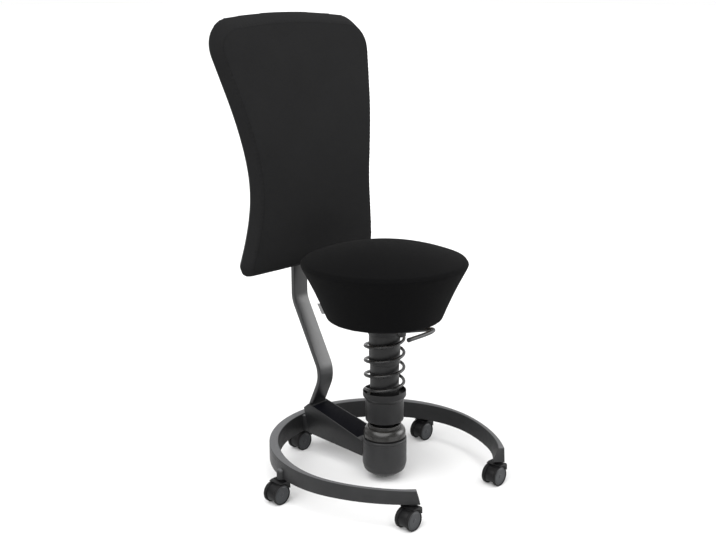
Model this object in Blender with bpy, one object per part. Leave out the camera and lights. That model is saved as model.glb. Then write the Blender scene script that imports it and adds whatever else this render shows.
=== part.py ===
"""Spring balance stool with a tall backrest on a castor ring.

Lengths are metres and +Z is up. The sitter faces -Y and their left is +X. The column's axis is the Z axis,
and the origin is the centre of the foot's flat underside. Heights in the constants below are taken from the
floor, which the empty stool_floor marks.
"""
from math import asin, atan, cos, pi, radians, sin, sqrt, tan

import bmesh
import bpy
import numpy as np
from mathutils import Matrix, Vector

# Clearances
SEAT_GAP = 0.0003
RUNNING_GAP = 0.0002

# Foot, pivot and side stiffness ring
FOOT_LIFT = 0.016
FOOT_RADIUS = 0.0543
FOOT_UNDERSIDE_RADIUS = 0.037
FOOT_ROUNDING = 0.024
FOOT_TOP = 0.1065
FOOT_POCKET_RADIUS = 0.0355
FOOT_POCKET_FLOOR = 0.045
FOOT_LEDGE_RADIUS = 0.0458
FOOT_LEDGE = 0.092
PIVOT_HEIGHT = 0.088
PIVOT_PIN_RADIUS = 0.006
YOKE_BASE_THICKNESS = 0.005
YOKE_EAR_INNER = 0.0185
YOKE_EAR_THICKNESS = 0.007
YOKE_EAR_HALF_WIDTH = 0.012
YOKE_EAR_ABOVE_PIN = 0.0095
KNUCKLE_EAR_INNER = 0.0085
KNUCKLE_EAR_THICKNESS = 0.007
KNUCKLE_EAR_HALF_WIDTH = 0.009
KNUCKLE_PLATE_RADIUS = 0.024
KNUCKLE_PLATE_RISE = 0.017
KNUCKLE_PLATE_THICKNESS = 0.005
BUFFER_BORE = 0.031
BELL_RADIUS = 0.052
BELL_BORE = 0.0375
BELL_TOP_RADIUS = 0.041
BELL_HEIGHT = 0.0357
BELL_SKIRT = 0.011
BELL_PLINTH_RADIUS = 0.0465
BELL_PLINTH = 0.003

# Column, gas spring and coil spring
COLUMN_TUBE_RADIUS = 0.025
COLUMN_TUBE_WALL = 0.0025
COLUMN_TUBE_TOP = 0.300
HOUSING_RADIUS = 0.047
HOUSING_BOTTOM = 0.151
HOUSING_BUSH_LENGTH = 0.012
GUIDE_RADIUS = 0.0355
GUIDE_WALL = 0.0035
GUIDE_TOP = 0.328
GAS_CYLINDER_RADIUS = 0.014
GAS_CYLINDER_LENGTH = 0.150
GAS_CYLINDER_HEAD = 0.020
PISTON_ROD_RADIUS = 0.005
PISTON_ROD_TOP = 0.290
CUP_RADIUS = 0.053
CUP_WALL = 0.0016
CUP_BOTTOM = 0.206
CUP_FLOOR = 0.216
CUP_RIM = 0.228
SPRING_MEAN_RADIUS = 0.047
SPRING_WIRE = 0.008
SPRING_PITCH = 0.0365
SPRING_START_ANGLE = radians(-219.1)
SPRING_POINTS_PER_CURL = 10
SPRING_END_BEND = 0.008
SLEEVE_RADIUS = 0.0382
SLEEVE_BOTTOM = 0.297
SLEEVE_CAP = 0.005
COLLAR_RADIUS = 0.0495
COLLAR_BOTTOM = 0.382
COLLAR_TOP = 0.390
COLLAR_HUB_RADIUS = 0.0423
COLLAR_HUB_FOOT_RADIUS = 0.0398
COLLAR_HUB = 0.011

# Seat
SEAT_RIM_RADIUS = 0.199
SEAT_RIM_HEIGHT = 0.545
SEAT_RIM_ROUNDING = 0.012
SEAT_CROWN_HEIGHT = 0.592
SEAT_BASE_RADIUS = 0.1395
SEAT_UNDERSIDE = 0.410
SEAT_BASE_ROUNDING = 0.008
SEAT_SIDE_DRAW_IN = 0.0025
BOARD_RADIUS = 0.118
BOARD_THICKNESS = 0.008
PLATE_RADIUS = 0.080
PLATE_THICKNESS = 0.005
BEARING_RADIUS = 0.032
TAB_DIRECTION = radians(131.8)
TAB_HEIGHT = 0.432
TAB_LENGTH = 0.010
TAB_WIDTH = 0.026
TAB_THICKNESS = 0.0014

# Release lever
LEVER_ROD_RADIUS = 0.0052
LEVER_HEIGHT = 0.386
LEVER_AXIS_Y = -0.060
LEVER_ROOT_X = -0.018
LEVER_KNEE_X = 0.010
LEVER_BEND_X = 0.062
LEVER_BEND_Y = -0.097
LEVER_GRIP_Y = -0.111
LEVER_END_X = -0.036
LEVER_TIP_LENGTH = 0.007
BRACKET_LENGTH = 0.018
BRACKET_WIDTH = 0.0155
BRACKET_BELOW_ROD = 0.004

# Base ring
RING_CENTRE_Y = 0.0082
RING_OUTER_RADIUS = 0.277
RING_TOP_WIDTH = 0.0215
RING_FOOT_WIDTH = 0.024
RING_FRONT_TOP_WIDTH = 0.010
RING_FRONT_FOOT_WIDTH = 0.020
RING_NARROW_FROM = 0.470
RING_NARROW_TO = 0.190
RING_END_RUN = 0.090
RING_END_TOP_FLARE = 0.004
RING_END_FOOT_FLARE = 0.011
RING_BOTTOM = 0.0575
RING_TOP_REAR = 0.1045
RING_TOP_FRONT = 0.0905
RING_TURN_BELOW_AXIS = radians(15.1)
RING_FRONT_RADIUS = 0.412
RING_FRONT_SWEEP = radians(30.35)
RING_END_RAKE = 0.0093
RING_EDGE = 0.0015
LUG_HALF_WIDTH = 0.027
LUG_TOP_Y = 0.248
LUG_TOP = 0.1015
LUG_FOOT_Y = 0.2335
LUG_FOOT = 0.0605

# Castors
CASTOR_SIDE_ANGLE = radians(107.1)
CASTOR_END_SETBACK = 0.0166
CASTOR_END_INSET = 0.0138
CASTOR_TRAIL = 0.0155
CASTOR_SOCKET_RADIUS = 0.0105
CASTOR_SOCKET_BELOW_TOP = 0.019
CASTOR_SOCKET_DROP = 0.0015
CASTOR_END_SOCKET_RADIUS = 0.0068
CASTOR_END_SOCKET_HEIGHT = 0.012
WHEEL_RADIUS = 0.0246
WHEEL_WIDTH = 0.0085
WHEEL_SPACING = 0.0315
WHEEL_EDGE = 0.002
WHEEL_DISC_RADIUS = 0.0205
WHEEL_DISC_DEPTH = 0.001
AXLE_RADIUS = 0.004
STEM_RADIUS = 0.005
STEM_DEPTH = 0.016
STEM_FLANGE_RADIUS = 0.009
STEM_FLANGE = 0.002
STEM_FOOT = 0.036
HOOD_WALL = 0.0012
HOOD_TYRE_GAP = 0.0012
HOOD_FRONT = 0.0255
HOOD_FRONT_LOW = 0.010
HOOD_CORNER = 0.003
HOOD_TOP_BACK = 0.003
HOOD_BACK = radians(100)
HOOD_WEB_INSET = 0.0006
HOOD_WEB_FOOT = 0.0075

# Support arm and its cover
ARM_REAR_HALF_WIDTH = 0.030
ARM_FRONT_HALF_WIDTH = 0.038
ARM_FRONT_Y = 0.036
ARM_FRONT_BOTTOM = 0.0535
ARM_FRONT_TOP = 0.0915
ARM_PEAK_Y = 0.236
ARM_PEAK = 0.140
ARM_HEEL_Y = 0.2535
ARM_HEEL = 0.126
ARM_WALL = 0.0035
COVER_THICKNESS = 0.004
COVER_FRONT_Y = 0.060
COVER_REAR_Y = 0.224
BOLT_RADIUS = 0.0035
BOLT_HEAD_RADIUS = 0.0065
BOLT_HEAD = 0.004
ARM_BOLT_X = 0.018
ARM_BOLT_HEIGHT = 0.079
ARM_BOLT_BITE = 0.014

# Backrest bar
BAR_WIDTH = 0.048
BAR_THICKNESS = 0.012
BAR_EDGE = 0.0025
BAR_FOOT_Y = 0.2438
BAR_FOOT = 0.118
BAR_KNEE_Y = 0.1955
BAR_KNEE = 0.2225
BAR_HIP_Y = 0.292
BAR_HIP = 0.408
BAR_BEND_RADIUS = 0.070
BAR_TOP = 0.775

# Backrest pad, shell and fixing
BACK_BOTTOM = 0.512
BACK_TOP = 1.101
BACK_TOP_CROWN = 0.010
BACK_NEAREST_HEIGHT = 0.700
BACK_NEAREST_Y = 0.2145
BACK_CURVE_RADIUS = 0.87
BACK_STRAIGHT_FROM = 0.930
BACK_WAIST_HEIGHT = 0.706
BACK_WAIST_HALF_WIDTH = 0.187
BACK_FLARE = 0.235
BACK_WAIST_SOFTNESS = 0.022
BACK_TOP_CORNER = 0.064
BACK_BOTTOM_CORNER = 0.022
PAD_THICKNESS = 0.037
PAD_CROWN = 0.003
PAD_RIM_OUT = 0.012
PAD_EDGE = 0.004
FRONT_SHARES = (0.35, 0.68, 0.93)
BACK_SHARES = (0.85, 0.6, 0.3)
SHELL_THICKNESS = 0.008
SHELL_OUT = 0.004
MOUNT_HALF_WIDTH = 0.035
MOUNT_HEIGHT = 0.100
BACK_BOLT_SPACING = 0.050

# Round counts and the volume that a four-cornered face may enclose and still be flat
FINE_STEPS = 40
ROUND_STEPS = 32
SMALL_STEPS = 20
TINY_STEPS = 12
WHEEL_STEPS = 20
HOOD_STEPS = 8
FLAT_VOLUME = 1e-12


def clear_scene():
    """Removes whatever the open file holds."""
    for old in list(bpy.data.objects):
        bpy.data.objects.remove(old)


def finish(name, colour, roughness, metallic):
    """A Principled material with one colour."""
    material = bpy.data.materials.new(name)
    material.use_nodes = True
    shader = material.node_tree.nodes["Principled BSDF"]
    shader.inputs["Base Color"].default_value = (*colour, 1.0)
    shader.inputs["Roughness"].default_value = roughness
    shader.inputs["Metallic"].default_value = metallic
    return material


def make_finishes():
    """The finishes that the photograph shows."""
    return {
        "powder_coat": finish("dark_grey_powder_coat", (0.055, 0.056, 0.060), 0.55, 0.0),
        "bar": finish("satin_grey_bar", (0.085, 0.087, 0.095), 0.42, 0.3),
        "plastic": finish("black_plastic", (0.022, 0.022, 0.024), 0.45, 0.0),
        "gloss": finish("gloss_black_plastic", (0.030, 0.029, 0.028), 0.18, 0.0),
        "insert": finish("blue_black_insert", (0.010, 0.010, 0.014), 0.35, 0.0),
        "steel": finish("bright_steel", (0.42, 0.42, 0.43), 0.30, 1.0),
        "wire": finish("dark_spring_wire", (0.10, 0.10, 0.105), 0.28, 0.8),
        "rubber": finish("black_rubber", (0.012, 0.012, 0.012), 0.75, 0.0),
        "fabric": finish("black_fabric", (0.012, 0.012, 0.013), 0.90, 0.0),
        "board": finish("seat_board_wood", (0.33, 0.22, 0.12), 0.70, 0.0),
        "tab": finish("pale_tab", (0.62, 0.62, 0.62), 0.80, 0.0),
    }


def place(name, mesh_or_curve, look, parent, location=(0, 0, 0), rotation=(0, 0, 0)):
    """Links a named object under its parent."""
    thing = bpy.data.objects.new(name, mesh_or_curve)
    bpy.context.collection.objects.link(thing)
    thing.parent = parent
    thing.location = location
    thing.rotation_euler = rotation
    if look:
        thing.data.materials.append(look)
    return thing


def empty_at(name, parent, location):
    """A marker that carries pieces, on their joint's axis."""
    marker = bpy.data.objects.new(name, None)
    bpy.context.collection.objects.link(marker)
    marker.parent = parent
    marker.location = location
    return marker


def mesh_from(shape, name, smooth_angle=radians(35)):
    """Closes a bmesh into a mesh with outward faces and smooth round sides."""
    bmesh.ops.recalc_face_normals(shape, faces=shape.faces)
    mesh = bpy.data.meshes.new(name)
    shape.to_mesh(mesh)
    shape.free()
    mesh.shade_smooth()
    mesh.set_sharp_from_angle(angle=smooth_angle)
    return mesh


def arc(centre, radius, start, end, steps):
    """Points along a circular arc in a plane, ends included."""
    angles = np.linspace(start, end, steps + 1)
    return [(centre[0] + radius * cos(a), centre[1] + radius * sin(a)) for a in angles]


def turned(name, outline, steps=ROUND_STEPS):
    """A closed outline of (radius, height) points turned about Z."""
    shape = bmesh.new()
    loop = [shape.verts.new((r, 0, z)) for r, z in outline]
    edges = [shape.edges.new((loop[i - 1], loop[i])) for i in range(len(loop))]
    on_axis = [e for e in edges if all(v.co.x < 1e-7 for v in e.verts)]
    bmesh.ops.delete(shape, geom=on_axis, context="EDGES")
    profile = list(shape.verts) + list(shape.edges)
    bmesh.ops.spin(shape, geom=profile, cent=(0, 0, 0), axis=(0, 0, 1), angle=2 * pi, steps=steps,
                   use_merge=True)
    bmesh.ops.remove_doubles(shape, verts=shape.verts, dist=1e-6)
    return mesh_from(shape, name)


def block(name, low, high):
    """A box between two corners."""
    shape = bmesh.new()
    bmesh.ops.create_cube(shape, size=1.0)
    low = Vector(low)
    high = Vector(high)
    for vert in shape.verts:
        vert.co = (low + high) / 2 + Vector(c * s for c, s in zip(vert.co, high - low))
    return mesh_from(shape, name)


def prism(name, side_outline, half_width):
    """A (y, z) outline given width along X; half_width is a function of y."""
    shape = bmesh.new()
    left = [shape.verts.new((-half_width(y), y, z)) for y, z in side_outline]
    right = [shape.verts.new((half_width(y), y, z)) for y, z in side_outline]
    shape.faces.new(left)
    shape.faces.new(right[::-1])
    for i in range(len(left)):
        shape.faces.new((left[i - 1], left[i], right[i], right[i - 1]))
    return mesh_from(shape, name)


def add_patch(shape, a, b, c, d):
    """A four-cornered face, split along its shorter diagonal where it isn't flat."""
    bent = abs((b.co - a.co).cross(d.co - a.co).dot(c.co - a.co))
    if bent < FLAT_VOLUME:
        shape.faces.new((a, b, c, d))
    elif (c.co - a.co).length < (d.co - b.co).length:
        shape.faces.new((a, b, c))
        shape.faces.new((a, c, d))
    else:
        shape.faces.new((a, b, d))
        shape.faces.new((b, c, d))


def lofted(name, rings, first_pole=None, last_pole=None):
    """Skins equal rings of points into a closed body, with a point or a flat cap at each end."""
    shape = bmesh.new()
    loops = [[shape.verts.new(p) for p in ring] for ring in rings]
    count = len(loops[0])
    for lower, upper in zip(loops, loops[1:]):
        for i in range(count):
            add_patch(shape, lower[i - 1], lower[i], upper[i], upper[i - 1])
    for loop, pole in ((loops[0], first_pole), (loops[-1], last_pole)):
        if pole is None:
            shape.faces.new(loop)
        else:
            tip = shape.verts.new(pole)
            for i in range(count):
                shape.faces.new((loop[i - 1], loop[i], tip))
    return mesh_from(shape, name)


def rod_curve(name, points, radius, resolution):
    """A round rod along points, with closed ends."""
    curve = bpy.data.curves.new(name, "CURVE")
    curve.dimensions = "3D"
    curve.bevel_depth = radius
    curve.bevel_resolution = resolution
    curve.use_fill_caps = True
    spline = curve.splines.new("POLY")
    spline.points.add(len(points) - 1)
    for spot, point in zip(spline.points, points):
        spot.co = (*point, 1.0)
    return curve


def smooth_through(points, steps):
    """Points on a Catmull-Rom curve through a route's own points."""
    route = [np.array(p, float) for p in points]
    ends = [2 * route[0] - route[1], *route, 2 * route[-1] - route[-2]]
    smooth = []
    for a, b, c, d in zip(ends, ends[1:], ends[2:], ends[3:]):
        for t in np.linspace(0, 1, steps, endpoint=False):
            smooth.append(0.5 * (2 * b + (c - a) * t + (2 * a - 5 * b + 4 * c - d) * t**2
                                 + (3 * b - a - 3 * c + d) * t**3))
    smooth.append(route[-1])
    return smooth


def rounded_route(corners, radius, steps):
    """A polyline in a plane whose inner corners are rounded by arcs."""
    route = [Vector(corners[0])]
    for before, corner, after in zip(corners, corners[1:], corners[2:]):
        corner = Vector(corner)
        to_before = (Vector(before) - corner).normalized()
        to_after = (Vector(after) - corner).normalized()
        half = to_before.angle(to_after) / 2
        centre = corner + (to_before + to_after).normalized() * (radius / sin(half))
        start = corner + to_before * (radius / tan(half)) - centre
        turn = start.angle_signed(corner + to_after * (radius / tan(half)) - centre)
        for t in np.linspace(0, 1, steps + 1):
            a = -turn * t
            spoke = Vector((start.x * cos(a) - start.y * sin(a), start.x * sin(a) + start.y * cos(a)))
            route.append(centre + spoke)
    route.append(Vector(corners[-1]))
    return route


def ribbon_outline(route, thickness):
    """The closed outline of a strip that follows a route in a plane."""
    sides = ([], [])
    for i, point in enumerate(route):
        along = (route[min(i + 1, len(route) - 1)] - route[max(i - 1, 0)]).normalized()
        across = Vector((-along.y, along.x)) * (thickness / 2)
        sides[0].append(tuple(point + across))
        sides[1].append(tuple(point - across))
    return sides[0] + sides[1][::-1]


def cut(target, mesh, parent, operation="DIFFERENCE", location=(0, 0, 0), rotation=(0, 0, 0)):
    """Cuts a shape out of a piece, or joins it on, with a Boolean."""
    tool = place(f"{target.name}_tool", mesh, None, parent, location, rotation)
    tool.hide_render = True
    tool.display_type = "WIRE"
    boolean = target.modifiers.new("shape", "BOOLEAN")
    boolean.object = tool
    boolean.operation = operation
    boolean.solver = "EXACT"


def bars_mesh(bars, steps=SMALL_STEPS):
    """Plain round bars, each given by its radius and its two end points."""
    shape = bmesh.new()
    for radius, start, end in bars:
        start = Vector(start)
        along = Vector(end) - start
        spin = Vector((0, 0, 1)).rotation_difference(along).to_matrix().to_4x4()
        middle = Matrix.Translation(start + along / 2)
        bmesh.ops.create_cone(shape, cap_ends=True, segments=steps, radius1=radius, radius2=radius,
                              depth=along.length, matrix=middle @ spin)
    return mesh_from(shape, "bars")


def pin_mesh(radius, start, end, steps=SMALL_STEPS):
    """One plain round bar along Z."""
    return bars_mesh([(radius, (0, 0, start), (0, 0, end))], steps)


ALONG_X = (0, pi / 2, 0)
ALONG_Y = (-pi / 2, 0, 0)


def make_foot(floor, looks):
    """Foot cup, the fixed half of the pivot, its rubber ring and the turning stiffness ring."""
    rounding = arc((FOOT_RADIUS - FOOT_ROUNDING, FOOT_LIFT + FOOT_ROUNDING), FOOT_ROUNDING, -0.18 * pi, 0, 3)
    cup = [(0, FOOT_LIFT), (0, FOOT_POCKET_FLOOR), (FOOT_POCKET_RADIUS, FOOT_POCKET_FLOOR),
           (FOOT_POCKET_RADIUS, FOOT_LEDGE), (FOOT_LEDGE_RADIUS, FOOT_LEDGE), (FOOT_LEDGE_RADIUS, FOOT_TOP),
           (FOOT_RADIUS - RING_EDGE, FOOT_TOP), (FOOT_RADIUS, FOOT_TOP - RING_EDGE), *rounding[::-1],
           (FOOT_UNDERSIDE_RADIUS, FOOT_LIFT)]
    place("foot_cup", turned("foot_cup", cup, FINE_STEPS), looks["plastic"], floor)

    yoke_foot = FOOT_POCKET_FLOOR + SEAT_GAP
    yoke_base = [(0, yoke_foot), (0, yoke_foot + YOKE_BASE_THICKNESS),
                 (FOOT_POCKET_RADIUS - SEAT_GAP, yoke_foot + YOKE_BASE_THICKNESS),
                 (FOOT_POCKET_RADIUS - SEAT_GAP, yoke_foot)]
    yoke = place("foot_yoke", turned("foot_yoke", yoke_base), looks["steel"], floor)
    ear_bottom = yoke_foot + YOKE_BASE_THICKNESS / 2
    for side in (-1, 1):
        inner = side * YOKE_EAR_INNER
        outer = side * (YOKE_EAR_INNER + YOKE_EAR_THICKNESS)
        ear = block("ear", (min(inner, outer), -YOKE_EAR_HALF_WIDTH, ear_bottom),
                    (max(inner, outer), YOKE_EAR_HALF_WIDTH, PIVOT_HEIGHT + YOKE_EAR_ABOVE_PIN))
        cut(yoke, ear, floor, "UNION")
    bore = pin_mesh(PIVOT_PIN_RADIUS + RUNNING_GAP, -FOOT_RADIUS, FOOT_RADIUS)
    cut(yoke, bore, floor, location=(0, 0, PIVOT_HEIGHT), rotation=ALONG_X)

    buffer_foot = FOOT_LEDGE + SEAT_GAP
    buffer_top = FOOT_TOP - SEAT_GAP
    buffer_outside = FOOT_LEDGE_RADIUS - SEAT_GAP
    ring = [(BUFFER_BORE, buffer_foot), (BUFFER_BORE, buffer_top), (buffer_outside, buffer_top),
            (buffer_outside, buffer_foot)]
    place("tilt_buffer", turned("tilt_buffer", ring), looks["rubber"], floor)

    bell_foot = FOOT_TOP + SEAT_GAP
    bell_top = bell_foot + BELL_HEIGHT
    shoulder_from = bell_foot + BELL_SKIRT
    shoulder_in = BELL_RADIUS - BELL_TOP_RADIUS
    shoulder_up = bell_top - shoulder_from
    shoulder = [(BELL_TOP_RADIUS + shoulder_in * cos(a), shoulder_from + shoulder_up * sin(a))
                for a in np.linspace(0.5 * pi, 0, 7)]
    skirt_foot = bell_foot + BELL_PLINTH
    bell = [(BELL_BORE, bell_foot), (BELL_BORE, bell_top - RING_EDGE), (BELL_BORE + RING_EDGE, bell_top),
            *shoulder, (BELL_RADIUS, skirt_foot), (BELL_PLINTH_RADIUS, skirt_foot),
            (BELL_PLINTH_RADIUS, bell_foot)]
    place("side_stiffness_ring", turned("side_stiffness_ring", bell, FINE_STEPS), looks["gloss"], floor)


def make_pivot(floor, looks):
    """Crossed pins of the pivot and the knuckle that carries the column."""
    centre = empty_at("pivot_centre", floor, (0, 0, PIVOT_HEIGHT))
    long_half = YOKE_EAR_INNER + YOKE_EAR_THICKNESS
    short_half = KNUCKLE_EAR_INNER + KNUCKLE_EAR_THICKNESS
    cross = place("pivot_cross", pin_mesh(PIVOT_PIN_RADIUS, -long_half, long_half), looks["steel"], centre,
                  rotation=ALONG_X)
    cut(cross, pin_mesh(PIVOT_PIN_RADIUS, -short_half, short_half), centre, "UNION", rotation=ALONG_Y)

    plate_top = KNUCKLE_PLATE_RISE + KNUCKLE_PLATE_THICKNESS
    plate = [(0, KNUCKLE_PLATE_RISE), (0, plate_top), (KNUCKLE_PLATE_RADIUS, plate_top),
             (KNUCKLE_PLATE_RADIUS, KNUCKLE_PLATE_RISE)]
    knuckle = place("column_knuckle", turned("column_knuckle", plate), looks["steel"], centre)
    for side in (-1, 1):
        inner = side * KNUCKLE_EAR_INNER
        outer = side * short_half
        ear_top = KNUCKLE_PLATE_RISE + KNUCKLE_PLATE_THICKNESS / 2
        ear = block("ear", (-KNUCKLE_EAR_HALF_WIDTH, min(inner, outer), -KNUCKLE_EAR_HALF_WIDTH),
                    (KNUCKLE_EAR_HALF_WIDTH, max(inner, outer), ear_top))
        cut(knuckle, ear, centre, "UNION")
    cut(knuckle, pin_mesh(PIVOT_PIN_RADIUS + RUNNING_GAP, -FOOT_RADIUS, FOOT_RADIUS), centre, rotation=ALONG_Y)
    return PIVOT_HEIGHT + plate_top


def tube_outline(outside, inside, bottom, top, closed_from=None):
    """A tube's turned outline, closed over its upper end above closed_from."""
    if closed_from is None:
        return [(inside, bottom), (inside, top), (outside, top), (outside, bottom)]
    return [(inside, bottom), (inside, closed_from), (0, closed_from), (0, top), (outside, top),
            (outside, bottom)]


def make_column(floor, looks, knuckle_top):
    """Column tube, gas spring, housing, guide tube and the cup that the coil spring stands in."""
    tube_foot = knuckle_top + SEAT_GAP
    tube_floor = tube_foot + COLUMN_TUBE_WALL
    tube_bore = COLUMN_TUBE_RADIUS - COLUMN_TUBE_WALL
    tube = [(0, tube_foot), (0, tube_floor), (tube_bore, tube_floor), (tube_bore, COLUMN_TUBE_TOP),
            (COLUMN_TUBE_RADIUS, COLUMN_TUBE_TOP), (COLUMN_TUBE_RADIUS, tube_foot)]
    place("column_tube", turned("column_tube", tube), looks["plastic"], floor)
    rod = pin_mesh(PISTON_ROD_RADIUS, tube_floor + SEAT_GAP, PISTON_ROD_TOP)
    place("piston_rod", rod, looks["steel"], floor)

    guide_bore = GUIDE_RADIUS - GUIDE_WALL
    guide_cap = GUIDE_TOP - GUIDE_WALL
    cylinder_top = guide_cap - SEAT_GAP
    cylinder = tube_outline(GAS_CYLINDER_RADIUS, PISTON_ROD_RADIUS + RUNNING_GAP,
                            cylinder_top - GAS_CYLINDER_LENGTH, cylinder_top, cylinder_top - GAS_CYLINDER_HEAD)
    place("gas_cylinder", turned("gas_cylinder", cylinder, SMALL_STEPS), looks["steel"], floor)
    step = HOUSING_BOTTOM + HOUSING_BUSH_LENGTH
    guide = tube_outline(GUIDE_RADIUS, guide_bore, step + SEAT_GAP, GUIDE_TOP, guide_cap)
    place("guide_tube", turned("guide_tube", guide), looks["powder_coat"], floor)
    housing_top = CUP_BOTTOM - SEAT_GAP
    housing = [(COLUMN_TUBE_RADIUS + RUNNING_GAP, HOUSING_BOTTOM), (COLUMN_TUBE_RADIUS + RUNNING_GAP, step),
               (GUIDE_RADIUS + SEAT_GAP, step), (GUIDE_RADIUS + SEAT_GAP, housing_top),
               (HOUSING_RADIUS, housing_top), (HOUSING_RADIUS, HOUSING_BOTTOM + RING_EDGE),
               (HOUSING_RADIUS - RING_EDGE, HOUSING_BOTTOM)]
    place("column_housing", turned("column_housing", housing, FINE_STEPS), looks["plastic"], floor)
    cup_bore = CUP_RADIUS - CUP_WALL
    cup = [(GUIDE_RADIUS + SEAT_GAP, CUP_BOTTOM), (GUIDE_RADIUS + SEAT_GAP, CUP_FLOOR), (cup_bore, CUP_FLOOR),
           (cup_bore, CUP_RIM), (CUP_RADIUS, CUP_RIM), (CUP_RADIUS, CUP_FLOOR - CUP_WALL),
           (HOUSING_RADIUS, CUP_BOTTOM)]
    place("spring_cup", turned("spring_cup", cup, FINE_STEPS), looks["plastic"], floor)

    sleeve_top = COLLAR_TOP - SEAT_GAP
    sleeve = tube_outline(SLEEVE_RADIUS, GUIDE_RADIUS + RUNNING_GAP, SLEEVE_BOTTOM, sleeve_top,
                          sleeve_top - SLEEVE_CAP)
    place("upper_sleeve", turned("upper_sleeve", sleeve), looks["powder_coat"], floor)
    collar_bore = SLEEVE_RADIUS + SEAT_GAP
    hub_foot = COLLAR_BOTTOM - COLLAR_HUB
    collar = [(collar_bore, hub_foot), (collar_bore, COLLAR_TOP), (COLLAR_RADIUS - RING_EDGE, COLLAR_TOP),
              (COLLAR_RADIUS, COLLAR_TOP - RING_EDGE), (COLLAR_RADIUS, COLLAR_BOTTOM + RING_EDGE),
              (COLLAR_RADIUS - RING_EDGE, COLLAR_BOTTOM), (COLLAR_HUB_RADIUS, COLLAR_BOTTOM),
              (COLLAR_HUB_FOOT_RADIUS, hub_foot)]
    place("spring_collar", turned("spring_collar", collar, FINE_STEPS), looks["plastic"], floor)


def spring_route():
    """Right-hand coil whose two ends bend upright and meet the cup and the collar squarely."""
    bottom = CUP_FLOOR + SEAT_GAP
    top = COLLAR_BOTTOM - SEAT_GAP
    coil_from = bottom + SPRING_WIRE + SPRING_END_BEND
    coil_to = top - SPRING_WIRE - SPRING_END_BEND
    curls = (coil_to - coil_from) / SPRING_PITCH
    steps = round(curls * SPRING_POINTS_PER_CURL)

    def on_coil(turns, height):
        angle = SPRING_START_ANGLE + 2 * pi * turns
        return np.array((SPRING_MEAN_RADIUS * cos(angle), SPRING_MEAN_RADIUS * sin(angle), height))

    bend_turns = SPRING_END_BEND / (2 * pi * SPRING_MEAN_RADIUS)
    bends = [0.5 * pi * k / 3 for k in range(3)]
    foot = [on_coil(-bend_turns, bottom)]
    foot += [on_coil(-bend_turns * cos(a), bottom + SPRING_WIRE + SPRING_END_BEND * sin(a)) for a in bends]
    coil = [on_coil(curls * k / steps, coil_from + SPRING_PITCH * curls * k / steps) for k in range(steps + 1)]
    head = [on_coil(curls + bend_turns * cos(a), top - SPRING_WIRE - SPRING_END_BEND * sin(a))
            for a in bends[::-1]]
    head.append(on_coil(curls + bend_turns, top))
    return foot + coil + head


def least_self_gap(route, diameter):
    """The least clear distance between stretches of a tube more than half a curl apart."""
    points = np.array(route)
    apart = np.linalg.norm(points[:, None] - points[None, :], axis=2)
    index = np.arange(len(points))
    far = np.abs(index[:, None] - index[None, :]) > SPRING_POINTS_PER_CURL // 2
    return float(apart[far].min() - diameter)


def make_spring(floor, looks):
    """The visible coil spring."""
    route = spring_route()
    place("main_spring", rod_curve("main_spring", route, SPRING_WIRE / 2, 1), looks["wire"], floor)
    print(f"main_spring least self gap {1000 * least_self_gap(route, SPRING_WIRE):.2f} mm")


def seat_corners():
    """The rounded lower and upper corners of the seat's side."""
    base = arc((SEAT_BASE_RADIUS - SEAT_BASE_ROUNDING, SEAT_UNDERSIDE + SEAT_BASE_ROUNDING),
               SEAT_BASE_ROUNDING, -0.5 * pi, -0.08 * pi, 3)
    rim = arc((SEAT_RIM_RADIUS - SEAT_RIM_ROUNDING, SEAT_RIM_HEIGHT), SEAT_RIM_ROUNDING,
              -0.14 * pi, 0.36 * pi, 4)
    return base, rim


def seat_side(height):
    """Radius of the seat's drawn-in side at a height."""
    base, rim = seat_corners()
    t = (height - base[-1][1]) / (rim[0][1] - base[-1][1])
    return base[-1][0] + (rim[0][0] - base[-1][0]) * t - SEAT_SIDE_DRAW_IN * sin(pi * t)


def seat_outline():
    """Turned outline of the seat: recess for the board, drawn-in side, rounded rim and crown."""
    recess_top = SEAT_UNDERSIDE + BOARD_THICKNESS + 2 * SEAT_GAP
    base_corner, rim_corner = seat_corners()
    heights = np.linspace(base_corner[-1][1], rim_corner[0][1], 5)[1:-1]
    side = [(seat_side(z), z) for z in heights]
    crown_from = rim_corner[-1]
    crown = [(crown_from[0] * s, SEAT_CROWN_HEIGHT - (SEAT_CROWN_HEIGHT - crown_from[1]) * s**2)
             for s in (0.82, 0.62, 0.40, 0.20, 0.0)]
    upward = [*base_corner, *side, *rim_corner, *crown]
    recess_radius = BOARD_RADIUS + SEAT_GAP
    return [(0, recess_top), (recess_radius, recess_top), (recess_radius, SEAT_UNDERSIDE), *upward]


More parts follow.
